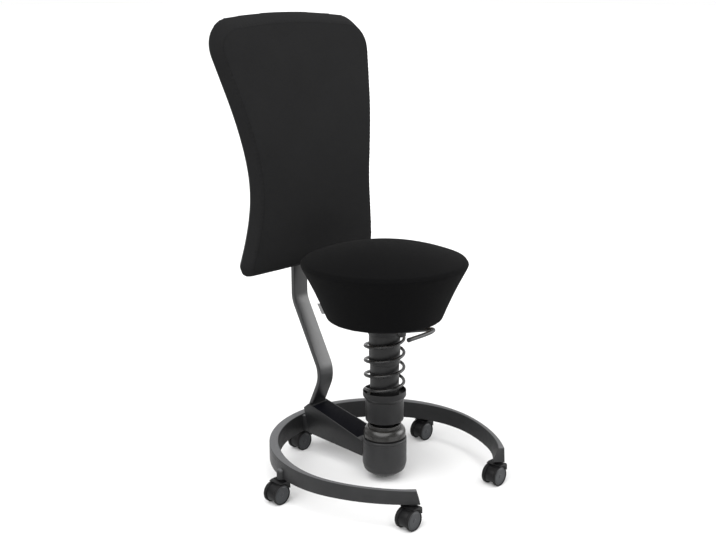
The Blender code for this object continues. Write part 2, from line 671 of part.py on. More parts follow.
def make_seat(floor, looks):
    """Cushion, board, plate, bearing and the bare sewn tab."""
    place("seat_cushion", turned("seat_cushion", seat_outline(), FINE_STEPS), looks["fabric"], floor)
    board_from = SEAT_UNDERSIDE + SEAT_GAP
    place("seat_board", pin_mesh(BOARD_RADIUS, board_from, board_from + BOARD_THICKNESS, FINE_STEPS),
          looks["board"], floor)
    plate_top = SEAT_UNDERSIDE
    plate_from = plate_top - PLATE_THICKNESS
    place("seat_plate", pin_mesh(PLATE_RADIUS, plate_from, plate_top, FINE_STEPS), looks["steel"], floor)
    place("swivel_bearing", pin_mesh(BEARING_RADIUS, COLLAR_TOP + SEAT_GAP, plate_from - SEAT_GAP),
          looks["steel"], floor)

    rings = []
    for z in (TAB_HEIGHT - TAB_WIDTH / 2, TAB_HEIGHT + TAB_WIDTH / 2):
        root = seat_side(z) + SEAT_GAP
        rings.append([(root, -TAB_THICKNESS / 2, z), (root + TAB_LENGTH, -TAB_THICKNESS / 2, z),
                      (root + TAB_LENGTH, TAB_THICKNESS / 2, z), (root, TAB_THICKNESS / 2, z)])
    place("label_tab", lofted("label_tab", rings), looks["tab"], floor, rotation=(0, 0, TAB_DIRECTION))
    return plate_from


def make_lever(floor, looks, plate_from):
    """Bent wire lever that turns in a block under the seat plate, with its end cap."""
    axis = empty_at("lever_axis", floor, (0, LEVER_AXIS_Y, LEVER_HEIGHT))
    grip = LEVER_GRIP_Y - LEVER_AXIS_Y
    bend = LEVER_BEND_Y - LEVER_AXIS_Y
    straight = [(LEVER_ROOT_X, 0, 0), (LEVER_ROOT_X / 2, 0, 0), (0, 0, 0)]
    bent = smooth_through([(LEVER_KNEE_X, 0, 0), (0.5 * (LEVER_KNEE_X + LEVER_BEND_X), 0.45 * bend, 0),
                           (LEVER_BEND_X, bend, 0), (0.78 * LEVER_BEND_X, 0.93 * grip, 0),
                           (0.30 * LEVER_BEND_X, grip, 0), (0.5 * LEVER_END_X, grip, 0),
                           (LEVER_END_X, grip, 0)], 4)
    route = straight + [tuple(p) for p in bent]
    place("release_lever", rod_curve("release_lever", route, LEVER_ROD_RADIUS, 1), looks["wire"], axis)
    tip = turned("lever_tip", [(0, 0), (0, LEVER_TIP_LENGTH), (LEVER_ROD_RADIUS, LEVER_TIP_LENGTH - RING_EDGE),
                               (LEVER_ROD_RADIUS + RUNNING_GAP, 0)], TINY_STEPS)
    place("lever_tip", tip, looks["rubber"], axis, (LEVER_END_X - SEAT_GAP, grip, 0), (0, -pi / 2, 0))
    low = LEVER_HEIGHT - LEVER_ROD_RADIUS - BRACKET_BELOW_ROD
    middle = LEVER_ROOT_X + BRACKET_LENGTH / 2 + RING_EDGE
    bracket = block("lever_bracket", (middle - BRACKET_LENGTH / 2, LEVER_AXIS_Y - BRACKET_WIDTH / 2, low),
                    (middle + BRACKET_LENGTH / 2, LEVER_AXIS_Y + BRACKET_WIDTH / 2, plate_from - SEAT_GAP))
    bracket = place("lever_bracket", bracket, looks["plastic"], floor)
    bore = pin_mesh(LEVER_ROD_RADIUS + RUNNING_GAP, LEVER_ROOT_X - BRACKET_LENGTH,
                    LEVER_ROOT_X + 3 * BRACKET_LENGTH)
    cut(bracket, bore, floor, location=(0, LEVER_AXIS_Y, LEVER_HEIGHT), rotation=ALONG_X)


def ring_sections():
    """Outer points and outward directions along the horseshoe, and their distances from its nearer end."""
    stations = []
    joint = -RING_TURN_BELOW_AXIS
    end = joint - RING_FRONT_SWEEP
    centre = Vector((0, RING_CENTRE_Y))
    front = centre + (RING_OUTER_RADIUS - RING_FRONT_RADIUS) * Vector((cos(joint), sin(joint)))
    for angle in np.linspace(end, joint, 8)[:-1]:
        outward = Vector((cos(angle), sin(angle)))
        stations.append((front + RING_FRONT_RADIUS * outward, outward, RING_FRONT_RADIUS * (angle - end)))
    front_run = RING_FRONT_RADIUS * RING_FRONT_SWEEP
    for angle in np.linspace(joint, pi / 2, 18):
        outward = Vector((cos(angle), sin(angle)))
        stations.append((centre + RING_OUTER_RADIUS * outward, outward,
                         front_run + RING_OUTER_RADIUS * (angle - joint)))
    mirrored = [(Vector((-p.x, p.y)), Vector((-o.x, o.y)), along) for p, o, along in stations[-2::-1]]
    return stations + mirrored


def ring_widths(along):
    """Widths of the band's top and foot: narrower towards the front, wider at the ends for the castors."""
    share = min(max((along - RING_NARROW_TO) / (RING_NARROW_FROM - RING_NARROW_TO), 0), 1)
    flare = max(1 - along / RING_END_RUN, 0) ** 2
    top = RING_FRONT_TOP_WIDTH + (RING_TOP_WIDTH - RING_FRONT_TOP_WIDTH) * share
    foot = RING_FRONT_FOOT_WIDTH + (RING_FOOT_WIDTH - RING_FRONT_FOOT_WIDTH) * share
    return top + RING_END_TOP_FLARE * flare, foot + RING_END_FOOT_FLARE * flare


def ring_top(y):
    """Height of the ring's top edge, which falls towards the front."""
    rear_y = RING_CENTRE_Y + RING_OUTER_RADIUS
    front_y = RING_CENTRE_Y - RING_OUTER_RADIUS
    return RING_TOP_FRONT + (RING_TOP_REAR - RING_TOP_FRONT) * (y - front_y) / (rear_y - front_y)


def ring_mesh():
    """The horseshoe band, upright outside and sloping inside, with edges eased and its two ends raked."""
    rings = []
    stations = ring_sections()
    for i, (point, outward, along) in enumerate(stations):
        rake = RING_END_RAKE if i in (0, len(stations) - 1) else 0.0
        inward = Vector((-outward.y, outward.x)) * (1 if i == 0 else -1)
        top = ring_top(point.y)
        head, foot = ring_widths(along)
        slope = (foot - head) / (top - RING_BOTTOM)
        corners = [(RING_EDGE - head, top), (-RING_EDGE, top), (0, top - RING_EDGE), (0, RING_BOTTOM),
                   (-foot, RING_BOTTOM), (-head - slope * RING_EDGE, top - RING_EDGE)]
        section = []
        for across, height in corners:
            back = rake * (height - RING_BOTTOM) / (top - RING_BOTTOM)
            spot = point + outward * across + inward * back
            section.append((spot.x, spot.y, height))
        rings.append(section)
    return lofted("base_ring", rings)


def castor_stems():
    """Names and plan positions of the castor stems, and whether a socket stands outside the ring."""
    stems = []
    stations = ring_sections()
    for name, index, side in (("front_left", 0, 1), ("front_right", -1, -1)):
        point, outward, _ = stations[index]
        back = Vector((-outward.y, outward.x)) * side
        stem = point + back * CASTOR_END_SETBACK - outward * CASTOR_END_INSET
        stems.append((name, stem, False))
    centre = Vector((0, RING_CENTRE_Y))
    for name, angle in (("side_left", CASTOR_SIDE_ANGLE), ("side_right", -CASTOR_SIDE_ANGLE), ("rear", pi)):
        stems.append((name, centre + RING_OUTER_RADIUS * Vector((sin(angle), -cos(angle))), True))
    return stems


def socket_foot():
    """Height of the castor sockets' lower faces."""
    return RING_BOTTOM - CASTOR_SOCKET_DROP


def make_ring(floor, looks):
    """Horseshoe ring with its castor sockets and the lug that the arm is screwed to."""
    ring = place("base_ring", ring_mesh(), looks["powder_coat"], floor)
    rear_y = RING_CENTRE_Y + RING_OUTER_RADIUS - RING_TOP_WIDTH / 2
    lug = prism("lug", [(LUG_FOOT_Y, LUG_FOOT), (rear_y, LUG_FOOT), (rear_y, LUG_TOP), (LUG_TOP_Y, LUG_TOP)],
                lambda y: LUG_HALF_WIDTH)
    cut(ring, lug, floor, "UNION")
    sockets = []
    bores = []
    for _, stem, outside in castor_stems():
        radius = CASTOR_SOCKET_RADIUS if outside else CASTOR_END_SOCKET_RADIUS
        top = ring_top(stem.y) - CASTOR_SOCKET_BELOW_TOP if outside else RING_BOTTOM + CASTOR_END_SOCKET_HEIGHT
        sockets.append((radius, (stem.x, stem.y, socket_foot()), (stem.x, stem.y, top)))
        bores.append((STEM_RADIUS + SEAT_GAP, (stem.x, stem.y, socket_foot() - STEM_DEPTH),
                      (stem.x, stem.y, socket_foot() + STEM_DEPTH + SEAT_GAP)))
    for x in (-ARM_BOLT_X, ARM_BOLT_X):
        bores.append((BOLT_RADIUS + SEAT_GAP, (x, LUG_FOOT_Y - RING_FOOT_WIDTH, ARM_BOLT_HEIGHT),
                      (x, LUG_FOOT_Y + RING_OUTER_RADIUS, ARM_BOLT_HEIGHT)))
    cut(ring, bars_mesh(sockets), floor, "UNION")
    cut(ring, bars_mesh(bores), floor)


def wheel_mesh():
    """A castor wheel turned about Z, from its inner face to its dished outer face, that stands on a flat."""
    bore = AXLE_RADIUS + RUNNING_GAP
    disc = WHEEL_WIDTH - WHEEL_DISC_DEPTH
    tread = WHEEL_RADIUS / cos(pi / WHEEL_STEPS)
    outline = [(bore, 0), (bore, disc), (WHEEL_DISC_RADIUS, disc),
               (WHEEL_DISC_RADIUS + WHEEL_DISC_DEPTH, WHEEL_WIDTH), (tread - WHEEL_EDGE, WHEEL_WIDTH),
               (tread, WHEEL_WIDTH - WHEEL_EDGE), (tread, WHEEL_EDGE / 2), (tread - WHEEL_EDGE / 2, 0)]
    return turned("castor_wheel", outline, WHEEL_STEPS)


def slab(name, side_outline, half_width):
    """A (x, z) outline given width along Y, evenly about its middle."""
    shape = bmesh.new()
    near = [shape.verts.new((x, -half_width, z)) for x, z in side_outline]
    far = [shape.verts.new((x, half_width, z)) for x, z in side_outline]
    shape.faces.new(near)
    shape.faces.new(far[::-1])
    for i in range(len(near)):
        shape.faces.new((near[i - 1], near[i], far[i], far[i - 1]))
    return mesh_from(shape, name)


def hood_crown(top, inset, back_radius):
    """The hood's outline about the axle, from its upright front over the flat top and down the back."""
    front = HOOD_FRONT - inset
    top = top - inset
    return [(front, HOOD_FRONT_LOW + inset), (front, top - HOOD_CORNER), (front - HOOD_CORNER, top),
            (HOOD_TOP_BACK, top), (back_radius * cos(HOOD_BACK), back_radius * sin(HOOD_BACK))]


def hood_meshes(top):
    """Fender over both wheels, and the web between them that holds stem and axle; the axle is the origin."""
    inner = WHEEL_RADIUS + HOOD_TYRE_GAP
    fender = hood_crown(top, 0, inner + HOOD_WALL)
    fender += arc((0, 0), inner, HOOD_BACK, asin(HOOD_FRONT_LOW / inner), HOOD_STEPS)
    low = asin((WHEEL_RADIUS - HOOD_WEB_FOOT) / WHEEL_RADIUS)
    web = hood_crown(top, HOOD_WEB_INSET, WHEEL_RADIUS)[:-1]
    web += arc((0, 0), WHEEL_RADIUS, HOOD_BACK, pi + low, HOOD_STEPS) + arc((0, 0), WHEEL_RADIUS, -low, 0, 3)
    web_half = WHEEL_SPACING / 2 - WHEEL_WIDTH / 2 - SEAT_GAP
    return slab("castor_hood", fender, WHEEL_SPACING / 2 + WHEEL_WIDTH / 2), slab("web", web, web_half)


def make_castors(floor, looks):
    """Five twin-wheel castors that trail to the sitter's right."""
    wheel = wheel_mesh()
    flange_top = socket_foot() - SEAT_GAP
    stem_top = socket_foot() + STEM_DEPTH
    hood_top = flange_top - STEM_FLANGE - SEAT_GAP
    for name, stem, _ in castor_stems():
        swivel = empty_at(f"{name}_castor_swivel", floor, (stem.x, stem.y, 0))
        axle_at = (-CASTOR_TRAIL, 0, WHEEL_RADIUS)
        shank = [(0, STEM_FOOT), (0, stem_top), (STEM_RADIUS, stem_top), (STEM_RADIUS, flange_top),
                 (STEM_FLANGE_RADIUS, flange_top), (STEM_FLANGE_RADIUS, flange_top - STEM_FLANGE),
                 (STEM_RADIUS, flange_top - STEM_FLANGE), (STEM_RADIUS, STEM_FOOT)]
        place(f"{name}_castor_stem", turned("castor_stem", shank, TINY_STEPS), looks["steel"], swivel)

        fender, web = hood_meshes(hood_top - WHEEL_RADIUS)
        hood = place(f"{name}_castor_hood", fender, looks["plastic"], swivel, axle_at)
        cut(hood, web, swivel, "UNION", axle_at)
        cut(hood, pin_mesh(AXLE_RADIUS + SEAT_GAP, -WHEEL_SPACING, WHEEL_SPACING), swivel, "DIFFERENCE",
            axle_at, ALONG_Y)
        cut(hood, pin_mesh(STEM_RADIUS + RUNNING_GAP, STEM_FOOT - SEAT_GAP, stem_top), swivel)

        half_axle = WHEEL_SPACING / 2 + WHEEL_WIDTH / 2 - WHEEL_DISC_DEPTH
        axle = pin_mesh(AXLE_RADIUS, -half_axle, half_axle, TINY_STEPS)
        place(f"{name}_castor_axle", axle, looks["steel"], swivel, axle_at, ALONG_Y)
        inner_face = WHEEL_SPACING / 2 - WHEEL_WIDTH / 2
        for side, facing, turn in (("near", -1, pi / 2), ("far", 1, -pi / 2)):
            place(f"{name}_castor_wheel_{side}", wheel, looks["rubber"], swivel,
                  (-CASTOR_TRAIL, facing * inner_face, WHEEL_RADIUS), (turn, pi / WHEEL_STEPS, 0))


def arm_half_width(y):
    """The arm widens from the ring towards the foot."""
    share = (y - ARM_FRONT_Y) / (LUG_TOP_Y - ARM_FRONT_Y)
    return ARM_FRONT_HALF_WIDTH + (ARM_REAR_HALF_WIDTH - ARM_FRONT_HALF_WIDTH) * share


def arm_top(y):
    """Height of the arm's sloping top."""
    return ARM_FRONT_TOP + (ARM_PEAK - ARM_FRONT_TOP) * (y - ARM_FRONT_Y) / (ARM_PEAK_Y - ARM_FRONT_Y)


def bar_route():
    """Middle line of the backrest bar, seen from the side."""
    corners = [(BAR_FOOT_Y, BAR_FOOT), (BAR_KNEE_Y, BAR_KNEE), (BAR_HIP_Y, BAR_HIP), (BAR_HIP_Y, BAR_TOP)]
    return rounded_route(corners, BAR_BEND_RADIUS, 7)


def make_arm(floor, looks):
    """Channel-shaped arm between ring and foot, its black insert and its screws."""
    rear_lean = (LUG_TOP_Y - LUG_FOOT_Y) / (LUG_TOP - LUG_FOOT)
    clear = SEAT_GAP * sqrt(1 + rear_lean**2)

    def rear_y(height):
        return LUG_FOOT_Y - clear + rear_lean * (height - LUG_FOOT)

    outline = [(ARM_FRONT_Y, ARM_FRONT_BOTTOM), (rear_y(LUG_FOOT), LUG_FOOT), (rear_y(LUG_TOP), LUG_TOP),
               (ARM_HEEL_Y, ARM_HEEL), (ARM_PEAK_Y, ARM_PEAK), (ARM_FRONT_Y, ARM_FRONT_TOP)]
    arm = place("support_arm", prism("support_arm", outline, arm_half_width), looks["powder_coat"], floor)
    cut(arm, pin_mesh(FOOT_RADIUS + SEAT_GAP, FOOT_LIFT, FOOT_TOP + BELL_HEIGHT, FINE_STEPS), floor)

    depth = COVER_THICKNESS + SEAT_GAP
    recess = [(COVER_FRONT_Y, arm_top(COVER_FRONT_Y) - depth), (COVER_REAR_Y, arm_top(COVER_REAR_Y) - depth),
              (COVER_REAR_Y, arm_top(COVER_REAR_Y) + depth), (COVER_FRONT_Y, arm_top(COVER_FRONT_Y) + depth)]
    cut(arm, prism("recess", recess, lambda y: arm_half_width(y) - ARM_WALL), floor)
    cover_front = COVER_FRONT_Y + SEAT_GAP
    cover_rear = COVER_REAR_Y - SEAT_GAP
    sheet = [(cover_front, arm_top(cover_front) - COVER_THICKNESS),
             (cover_rear, arm_top(cover_rear) - COVER_THICKNESS),
             (cover_rear, arm_top(cover_rear)), (cover_front, arm_top(cover_front))]
    place("arm_cover", prism("arm_cover", sheet, lambda y: arm_half_width(y) - ARM_WALL - SEAT_GAP),
          looks["insert"], floor)

    pocket_gap = 2 * SEAT_GAP
    route = bar_route()
    route[0] = route[0] + (route[0] - route[1]).normalized() * SEAT_GAP
    pocket = ribbon_outline(route[:3], BAR_THICKNESS + pocket_gap)
    cut(arm, prism("pocket", pocket, lambda y: BAR_WIDTH / 2 + SEAT_GAP), floor)

    ring_back = RING_CENTRE_Y + sqrt(RING_OUTER_RADIUS**2 - (ARM_BOLT_X - BOLT_HEAD_RADIUS) ** 2)
    bite = rear_y(ARM_BOLT_HEIGHT) - ARM_BOLT_BITE
    for name, side in (("arm_bolt_right", -1), ("arm_bolt_left", 1)):
        spot = (side * ARM_BOLT_X, 0, ARM_BOLT_HEIGHT)
        bore = pin_mesh(BOLT_RADIUS + SEAT_GAP, bite - SEAT_GAP, RING_OUTER_RADIUS)
        cut(arm, bore, floor, location=spot, rotation=ALONG_Y)
        head_from = ring_back + SEAT_GAP
        bolt = [(0, bite), (0, head_from + BOLT_HEAD), (BOLT_HEAD_RADIUS, head_from + BOLT_HEAD),
                (BOLT_HEAD_RADIUS, head_from), (BOLT_RADIUS, head_from), (BOLT_RADIUS, bite)]
        place(name, turned(name, bolt, TINY_STEPS), looks["steel"], floor, spot, ALONG_Y)


def back_half_width(z):
    """Half the pad's front width at a height: narrow at the waist, flaring evenly above and below it."""
    away = BACK_FLARE * (z - BACK_WAIST_HEIGHT)
    return BACK_WAIST_HALF_WIDTH + sqrt(BACK_WAIST_SOFTNESS**2 + away**2) - BACK_WAIST_SOFTNESS


def back_front_y(z):
    """Where the pad's front edge lies at a height: on one large arc, and straight on above it."""
    up = min(z, BACK_STRAIGHT_FROM) - BACK_NEAREST_HEIGHT
    level = sqrt(BACK_CURVE_RADIUS**2 - up**2)
    return BACK_NEAREST_Y + BACK_CURVE_RADIUS - level + max(0.0, z - BACK_STRAIGHT_FROM) * up / level


def back_outline(out):
    """The pad's (x, z) outline, moved outwards by out, from bottom middle round the sitter's left."""
    low = BACK_BOTTOM - out
    high = BACK_TOP + out
    low_corner = BACK_BOTTOM_CORNER + out
    high_corner = BACK_TOP_CORNER + out
    lean = atan(BACK_FLARE)
    side_from = low + low_corner * (1 + sin(lean))
    side_to = high - high_corner * (1 + sin(lean))
    low_centre = (back_half_width(side_from) + out - low_corner * cos(lean), low + low_corner)
    high_centre = (back_half_width(side_to) + out - high_corner * cos(lean), high - high_corner)
    rise = atan(2 * BACK_TOP_CROWN / high_centre[0])
    half = [(low_centre[0] * t, low) for t in (0, 0.35, 0.7)]
    half += arc(low_centre, low_corner, -0.5 * pi, lean, 5)
    half += [(back_half_width(z) + out, z) for z in np.linspace(side_from, side_to, 13)[1:-1]]
    half += arc(high_centre, high_corner, -lean, 0.5 * pi - rise, 7)
    crown_half, shoulder = half[-1]
    crown = 0.5 * crown_half * tan(rise)
    half += [(crown_half * t, shoulder + crown * (1 - t * t)) for t in (0.75, 0.5, 0.25, 0)]
    return half + [(-x, z) for x, z in half[-2:0:-1]]


def back_ring(out, depth, share=1.0, crown=0.0):
    """One ring of the pad: its outline moved out, shrunk towards the middle and set back from the front arc."""
    middle = 0.5 * (BACK_BOTTOM + BACK_TOP)
    ring = []
    for x, z in back_outline(out):
        height = middle + (z - middle) * share
        ring.append((x * share, back_front_y(height) + depth - crown * (1 - share**2), height))
    return ring


def shell_mesh(front, back):
    """The curved shell between two depths behind the pad's front arc."""
    middle = 0.5 * (BACK_BOTTOM + BACK_TOP)
    rings = [*[back_ring(0, front, share) for share in BACK_SHARES[::-1]], back_ring(SHELL_OUT, front),
             back_ring(SHELL_OUT, back - PAD_EDGE), back_ring(SHELL_OUT - PAD_EDGE, back),
             *[back_ring(0, back, share) for share in BACK_SHARES]]
    poles = [(0, back_front_y(middle) + depth, middle) for depth in (front, back)]
    return lofted("backrest_shell", rings, *poles)


def make_backrest(floor, looks):
    """Tall waisted pad, the shell behind it, the bar that carries it and the block and screws between them."""
    middle = 0.5 * (BACK_BOTTOM + BACK_TOP)
    front_pole = (0, back_front_y(middle) - PAD_CROWN, middle)
    back_pole = (0, back_front_y(middle) + PAD_THICKNESS, middle)
    rings = [*[back_ring(0, 0, share, PAD_CROWN) for share in FRONT_SHARES],
             back_ring(0, PAD_EDGE / 2), back_ring(PAD_EDGE, 2.5 * PAD_EDGE),
             back_ring(PAD_RIM_OUT, PAD_THICKNESS - 2 * PAD_EDGE),
             back_ring(PAD_RIM_OUT, PAD_THICKNESS - PAD_EDGE), back_ring(PAD_RIM_OUT - PAD_EDGE, PAD_THICKNESS),
             *[back_ring(0, PAD_THICKNESS, share) for share in BACK_SHARES]]
    place("backrest_cushion", lofted("backrest_cushion", rings, front_pole, back_pole), looks["fabric"], floor)

    shell_from = PAD_THICKNESS + SEAT_GAP
    shell_to = shell_from + SHELL_THICKNESS
    place("backrest_shell", shell_mesh(shell_from, shell_to), looks["plastic"], floor)

    bar = place("backrest_bar", prism("backrest_bar", ribbon_outline(bar_route(), BAR_THICKNESS),
                                      lambda y: BAR_WIDTH / 2), looks["bar"], floor)
    bevel = bar.modifiers.new("eased_edges", "BEVEL")
    bevel.width = BAR_EDGE
    bevel.segments = 1
    bevel.limit_method = "ANGLE"
    bevel.angle_limit = radians(60)

    mount_low = BACK_NEAREST_HEIGHT - MOUNT_HEIGHT / 2
    mount_high = BACK_NEAREST_HEIGHT + MOUNT_HEIGHT / 2
    mount_front = back_front_y(mount_high) + 0.5 * (shell_from + shell_to)
    bar_front = BAR_HIP_Y - BAR_THICKNESS / 2
    bar_back = BAR_HIP_Y + BAR_THICKNESS / 2
    mount_block = block("back_mount", (-MOUNT_HALF_WIDTH, mount_front, mount_low),
                        (MOUNT_HALF_WIDTH, bar_front - SEAT_GAP, mount_high))
    mount = place("back_mount", mount_block, looks["plastic"], floor)
    cut(mount, shell_mesh(shell_from, shell_to + SEAT_GAP), floor)
    head_from = bar_back + SEAT_GAP
    for name, side in (("back_bolt_upper", 1), ("back_bolt_lower", -1)):
        spot = (0, 0, BACK_NEAREST_HEIGHT + side * BACK_BOLT_SPACING / 2)
        for holed in (mount, bar):
            bore = pin_mesh(BOLT_RADIUS + SEAT_GAP, mount_front - BOLT_HEAD, head_from + BOLT_HEAD, TINY_STEPS)
            cut(holed, bore, floor, location=spot, rotation=ALONG_Y)
        tip = mount_front + SHELL_THICKNESS
        bolt = [(0, tip), (0, head_from + BOLT_HEAD), (BOLT_HEAD_RADIUS, head_from + BOLT_HEAD),
                (BOLT_HEAD_RADIUS, head_from), (BOLT_RADIUS, head_from), (BOLT_RADIUS, tip)]
        place(name, turned(name, bolt, TINY_STEPS), looks["steel"], floor, spot, ALONG_Y)


def main():
    """Builds the stool above the floor marker."""
    clear_scene()
    looks = make_finishes()
    floor = empty_at("stool_floor", None, (0, 0, -FOOT_LIFT))
    make_foot(floor, looks)
    knuckle_top = make_pivot(floor, looks)
    make_column(floor, looks, knuckle_top)
    make_spring(floor, looks)
    plate_from = make_seat(floor, looks)
    make_lever(floor, looks, plate_from)
    make_ring(floor, looks)
    make_arm(floor, looks)
    make_castors(floor, looks)
    make_backrest(floor, looks)


main()
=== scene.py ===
"""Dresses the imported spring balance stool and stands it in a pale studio.

Sizes are metres. Heights are taken from the floor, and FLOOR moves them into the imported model's frame. The
sitter faces -Y and their left is +X.
"""
from math import asin, atan, atan2, cos, exp, pi, radians, sin, sqrt, tan

import bmesh
import bpy
import numpy as np
from mathutils import Matrix, Vector
from mathutils.bvhtree import BVHTree
from mathutils.kdtree import KDTree


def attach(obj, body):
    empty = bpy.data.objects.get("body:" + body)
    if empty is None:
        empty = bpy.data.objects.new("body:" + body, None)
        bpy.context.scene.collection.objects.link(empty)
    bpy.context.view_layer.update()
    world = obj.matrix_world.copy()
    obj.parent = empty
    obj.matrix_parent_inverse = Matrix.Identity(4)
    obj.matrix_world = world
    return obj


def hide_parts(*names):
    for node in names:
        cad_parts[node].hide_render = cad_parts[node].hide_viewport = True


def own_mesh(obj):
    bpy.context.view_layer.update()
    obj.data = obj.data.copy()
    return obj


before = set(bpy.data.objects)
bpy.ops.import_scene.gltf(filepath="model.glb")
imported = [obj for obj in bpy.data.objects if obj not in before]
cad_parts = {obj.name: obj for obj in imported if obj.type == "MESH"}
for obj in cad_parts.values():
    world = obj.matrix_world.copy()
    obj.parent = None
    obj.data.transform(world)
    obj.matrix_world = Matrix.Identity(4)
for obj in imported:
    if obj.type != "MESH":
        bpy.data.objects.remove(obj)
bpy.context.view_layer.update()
scene = bpy.context.scene

FLOOR = -0.016
GAP = 0.0003
RUNNING_GAP = 0.0002

# Camera of the photograph
CAMERA_PLACE = (-1.9716, -1.7630, 1.1851)
CAMERA_AIM = (0.0, 0.0, 0.5276)
CAMERA_LENS = 57.71
CAMERA_SENSOR = 36.0
CAMERA_SHIFT = -0.0371

# Studio light
ROOM_LIGHT = 0.32
BACKDROP_LIGHT = 0.75
BACKDROP_TOWARDS = (0.745, 0.665, 0.05)
BACKDROP_FADE = (0.0, 0.75)
STRIP_LIGHT = 5.6
STRIP_TOWARDS = (0.745, -0.60, 0.29)
STRIP_FADE = (0.875, 0.990)
SOFTBOX_LIGHT = 4.9
SOFTBOX_SPREAD = radians(80)
SOFTBOX_FROM = (-0.56, -0.22, 0.80)
PAPER_DARK = (0.69, 0.69, 0.69)
PAPER_LIGHT = (0.70, 0.70, 0.70)
PAPER_REACH = 60

# Foot and side stiffness ring
FOOT_RADIUS = 0.0543
FOOT_TOP = 0.1065
FOOT_LIFT = -FLOOR
FOOT_FLAT_RADIUS = 0.0372
FOOT_KNEE_RADIUS = 0.0500
FOOT_KNEE = 0.0255
FOOT_SIDE_FROM = 0.0410
FOOT_LINE_BELOW_TOP = 0.0070
FOOT_LINE_DEPTH = 0.0009
FOOT_MOUTH_RADIUS = 0.0458
FOOT_MOUTH_FLOOR = 0.092
FOOT_BORE = 0.0355
FOOT_FLOOR = 0.045
BELL_FOOT = FOOT_TOP + GAP
BELL_RADIUS = 0.052
BELL_BORE = 0.0375
BELL_TOP_RADIUS = 0.041
BELL_SKIRT = 0.011
BELL_HEIGHT = 0.0357
BELL_TOP = BELL_FOOT + BELL_HEIGHT
BELL_PLINTH_RADIUS = 0.0465
BELL_PLINTH = 0.003
BELL_NECK = 0.008

# Column and spring
NECK_RADIUS = 0.025
NECK_FOOT = 0.1103
NECK_TOP = 0.300
NECK_WALL = 0.0025
HOUSING_RADIUS = 0.047
HOUSING_BOTTOM = 0.151
HOUSING_FLOOR = 0.012
GUIDE_RADIUS = 0.0355
GUIDE_TOP = 0.328
GUIDE_WALL = 0.0035
CUP_RADIUS = 0.053
CUP_BORE = 0.0514
CUP_BOTTOM = 0.206
CUP_SHOULDER = 0.2145
CUP_FLOOR = 0.216
CUP_RIM = 0.228
COIL_RADIUS = 0.047
COIL_WIRE = 0.008
COIL_PITCH = 0.0365
COIL_START = radians(-219.1)
COIL_BEND = 0.008
COIL_POINTS = 48
SLEEVE_RADIUS = 0.0382
SLEEVE_BOTTOM = 0.297
SLEEVE_LID = 0.005
COLLAR_RADIUS = 0.0495
COLLAR_BOTTOM = 0.382
COLLAR_TOP = 0.390
COLLAR_HUB_RADIUS = 0.0423
COLLAR_HUB_FOOT_RADIUS = 0.0398
COLLAR_HUB = 0.011

# Seat
SEAT_RIM_RADIUS = 0.199
SEAT_RIM_HEIGHT = 0.545
SEAT_RIM_ROUNDING = 0.008
SEAT_CROWN_HEIGHT = 0.592
SEAT_BASE_RADIUS = 0.1395
SEAT_UNDERSIDE = 0.410
SEAT_BASE_ROUNDING = 0.008
SEAT_DRAW_IN = 0.0025
SEAT_INSET = -0.0014
SEAT_CLOTH_RADIUS = 0.17
SEAT_SEAM_DEPTH = 0.0013
SEAT_SEAM_WIDTH = 0.0030
SEAM_EYE_BELOW_RIM = 0.06
SEAM_AIM_RADIUS = 0.197
SEAM_AIM_RISE = 0.0648
STITCH_AIM_RISE = 0.0705
BOARD_RADIUS = 0.118
BOARD_THICKNESS = 0.008
RECESS_RIM = 0.004
PLATE_RADIUS = 0.080
PLATE_THICKNESS = 0.005
PLATE_BEAD = 0.0012
PLATE_SCREW_CIRCLE = 0.066
PLATE_SCREW_RADIUS = 0.0048
PLATE_SCREW_HEAD = 0.0028
STAPLE_CIRCLE = 0.123
STAPLE_PITCH = 0.022
STAPLE_LENGTH = 0.010
STAPLE_RADIUS = 0.0006
BEARING_RADIUS = 0.032
TAB_DIRECTION = radians(131.8)
TAB_HEIGHT = 0.432
TAB_LENGTH = 0.010
TAB_WIDTH = 0.026
TAB_THICKNESS = 0.0014
TAPE_THICKNESS = 0.0005
TAPE_RIB_PITCH = 0.0011

# Release lever
LEVER_ROD_RADIUS = 0.0052
LEVER_HEIGHT = 0.386
LEVER_AXIS_Y = -0.060
LEVER_ROOT_X = -0.018
LEVER_ROOT_SETBACK = 0.0025
LEVER_KNEE_X = 0.010
LEVER_BEND_X = 0.062
LEVER_BEND_Y = -0.097
LEVER_GRIP_Y = -0.111
LEVER_END_X = -0.036
LEVER_TIP_LENGTH = 0.007
BRACKET_LENGTH = 0.018
BRACKET_WIDTH = 0.0155
BRACKET_BELOW_ROD = 0.004
BRACKET_SETBACK = 0.0015
BRACKET_DRILL = 0.04

# Base ring
RING_CENTRE_Y = 0.0082
RING_OUTER_RADIUS = 0.277
RING_TOP_WIDTH = 0.0215
RING_FOOT_WIDTH = 0.024
RING_FRONT_TOP_WIDTH = 0.010
RING_FRONT_FOOT_WIDTH = 0.020
RING_NARROW_FROM = 0.470
RING_NARROW_TO = 0.190
RING_END_RUN = 0.090
RING_END_TOP_FLARE = 0.004
RING_END_FOOT_FLARE = 0.011
RING_BOTTOM = 0.0575
RING_TOP_REAR = 0.1045
RING_TOP_FRONT = 0.0905
RING_TURN_BELOW_AXIS = radians(15.1)
RING_FRONT_RADIUS = 0.412
RING_FRONT_SWEEP = radians(30.35)
RING_END_RAKE = 0.0093
RING_RAKE_RUN = 0.060
LUG_HALF_WIDTH = 0.027
LUG_TOP_Y = 0.248
LUG_TOP = 0.1015
LUG_FOOT_Y = 0.2335
LUG_FOOT = 0.0605

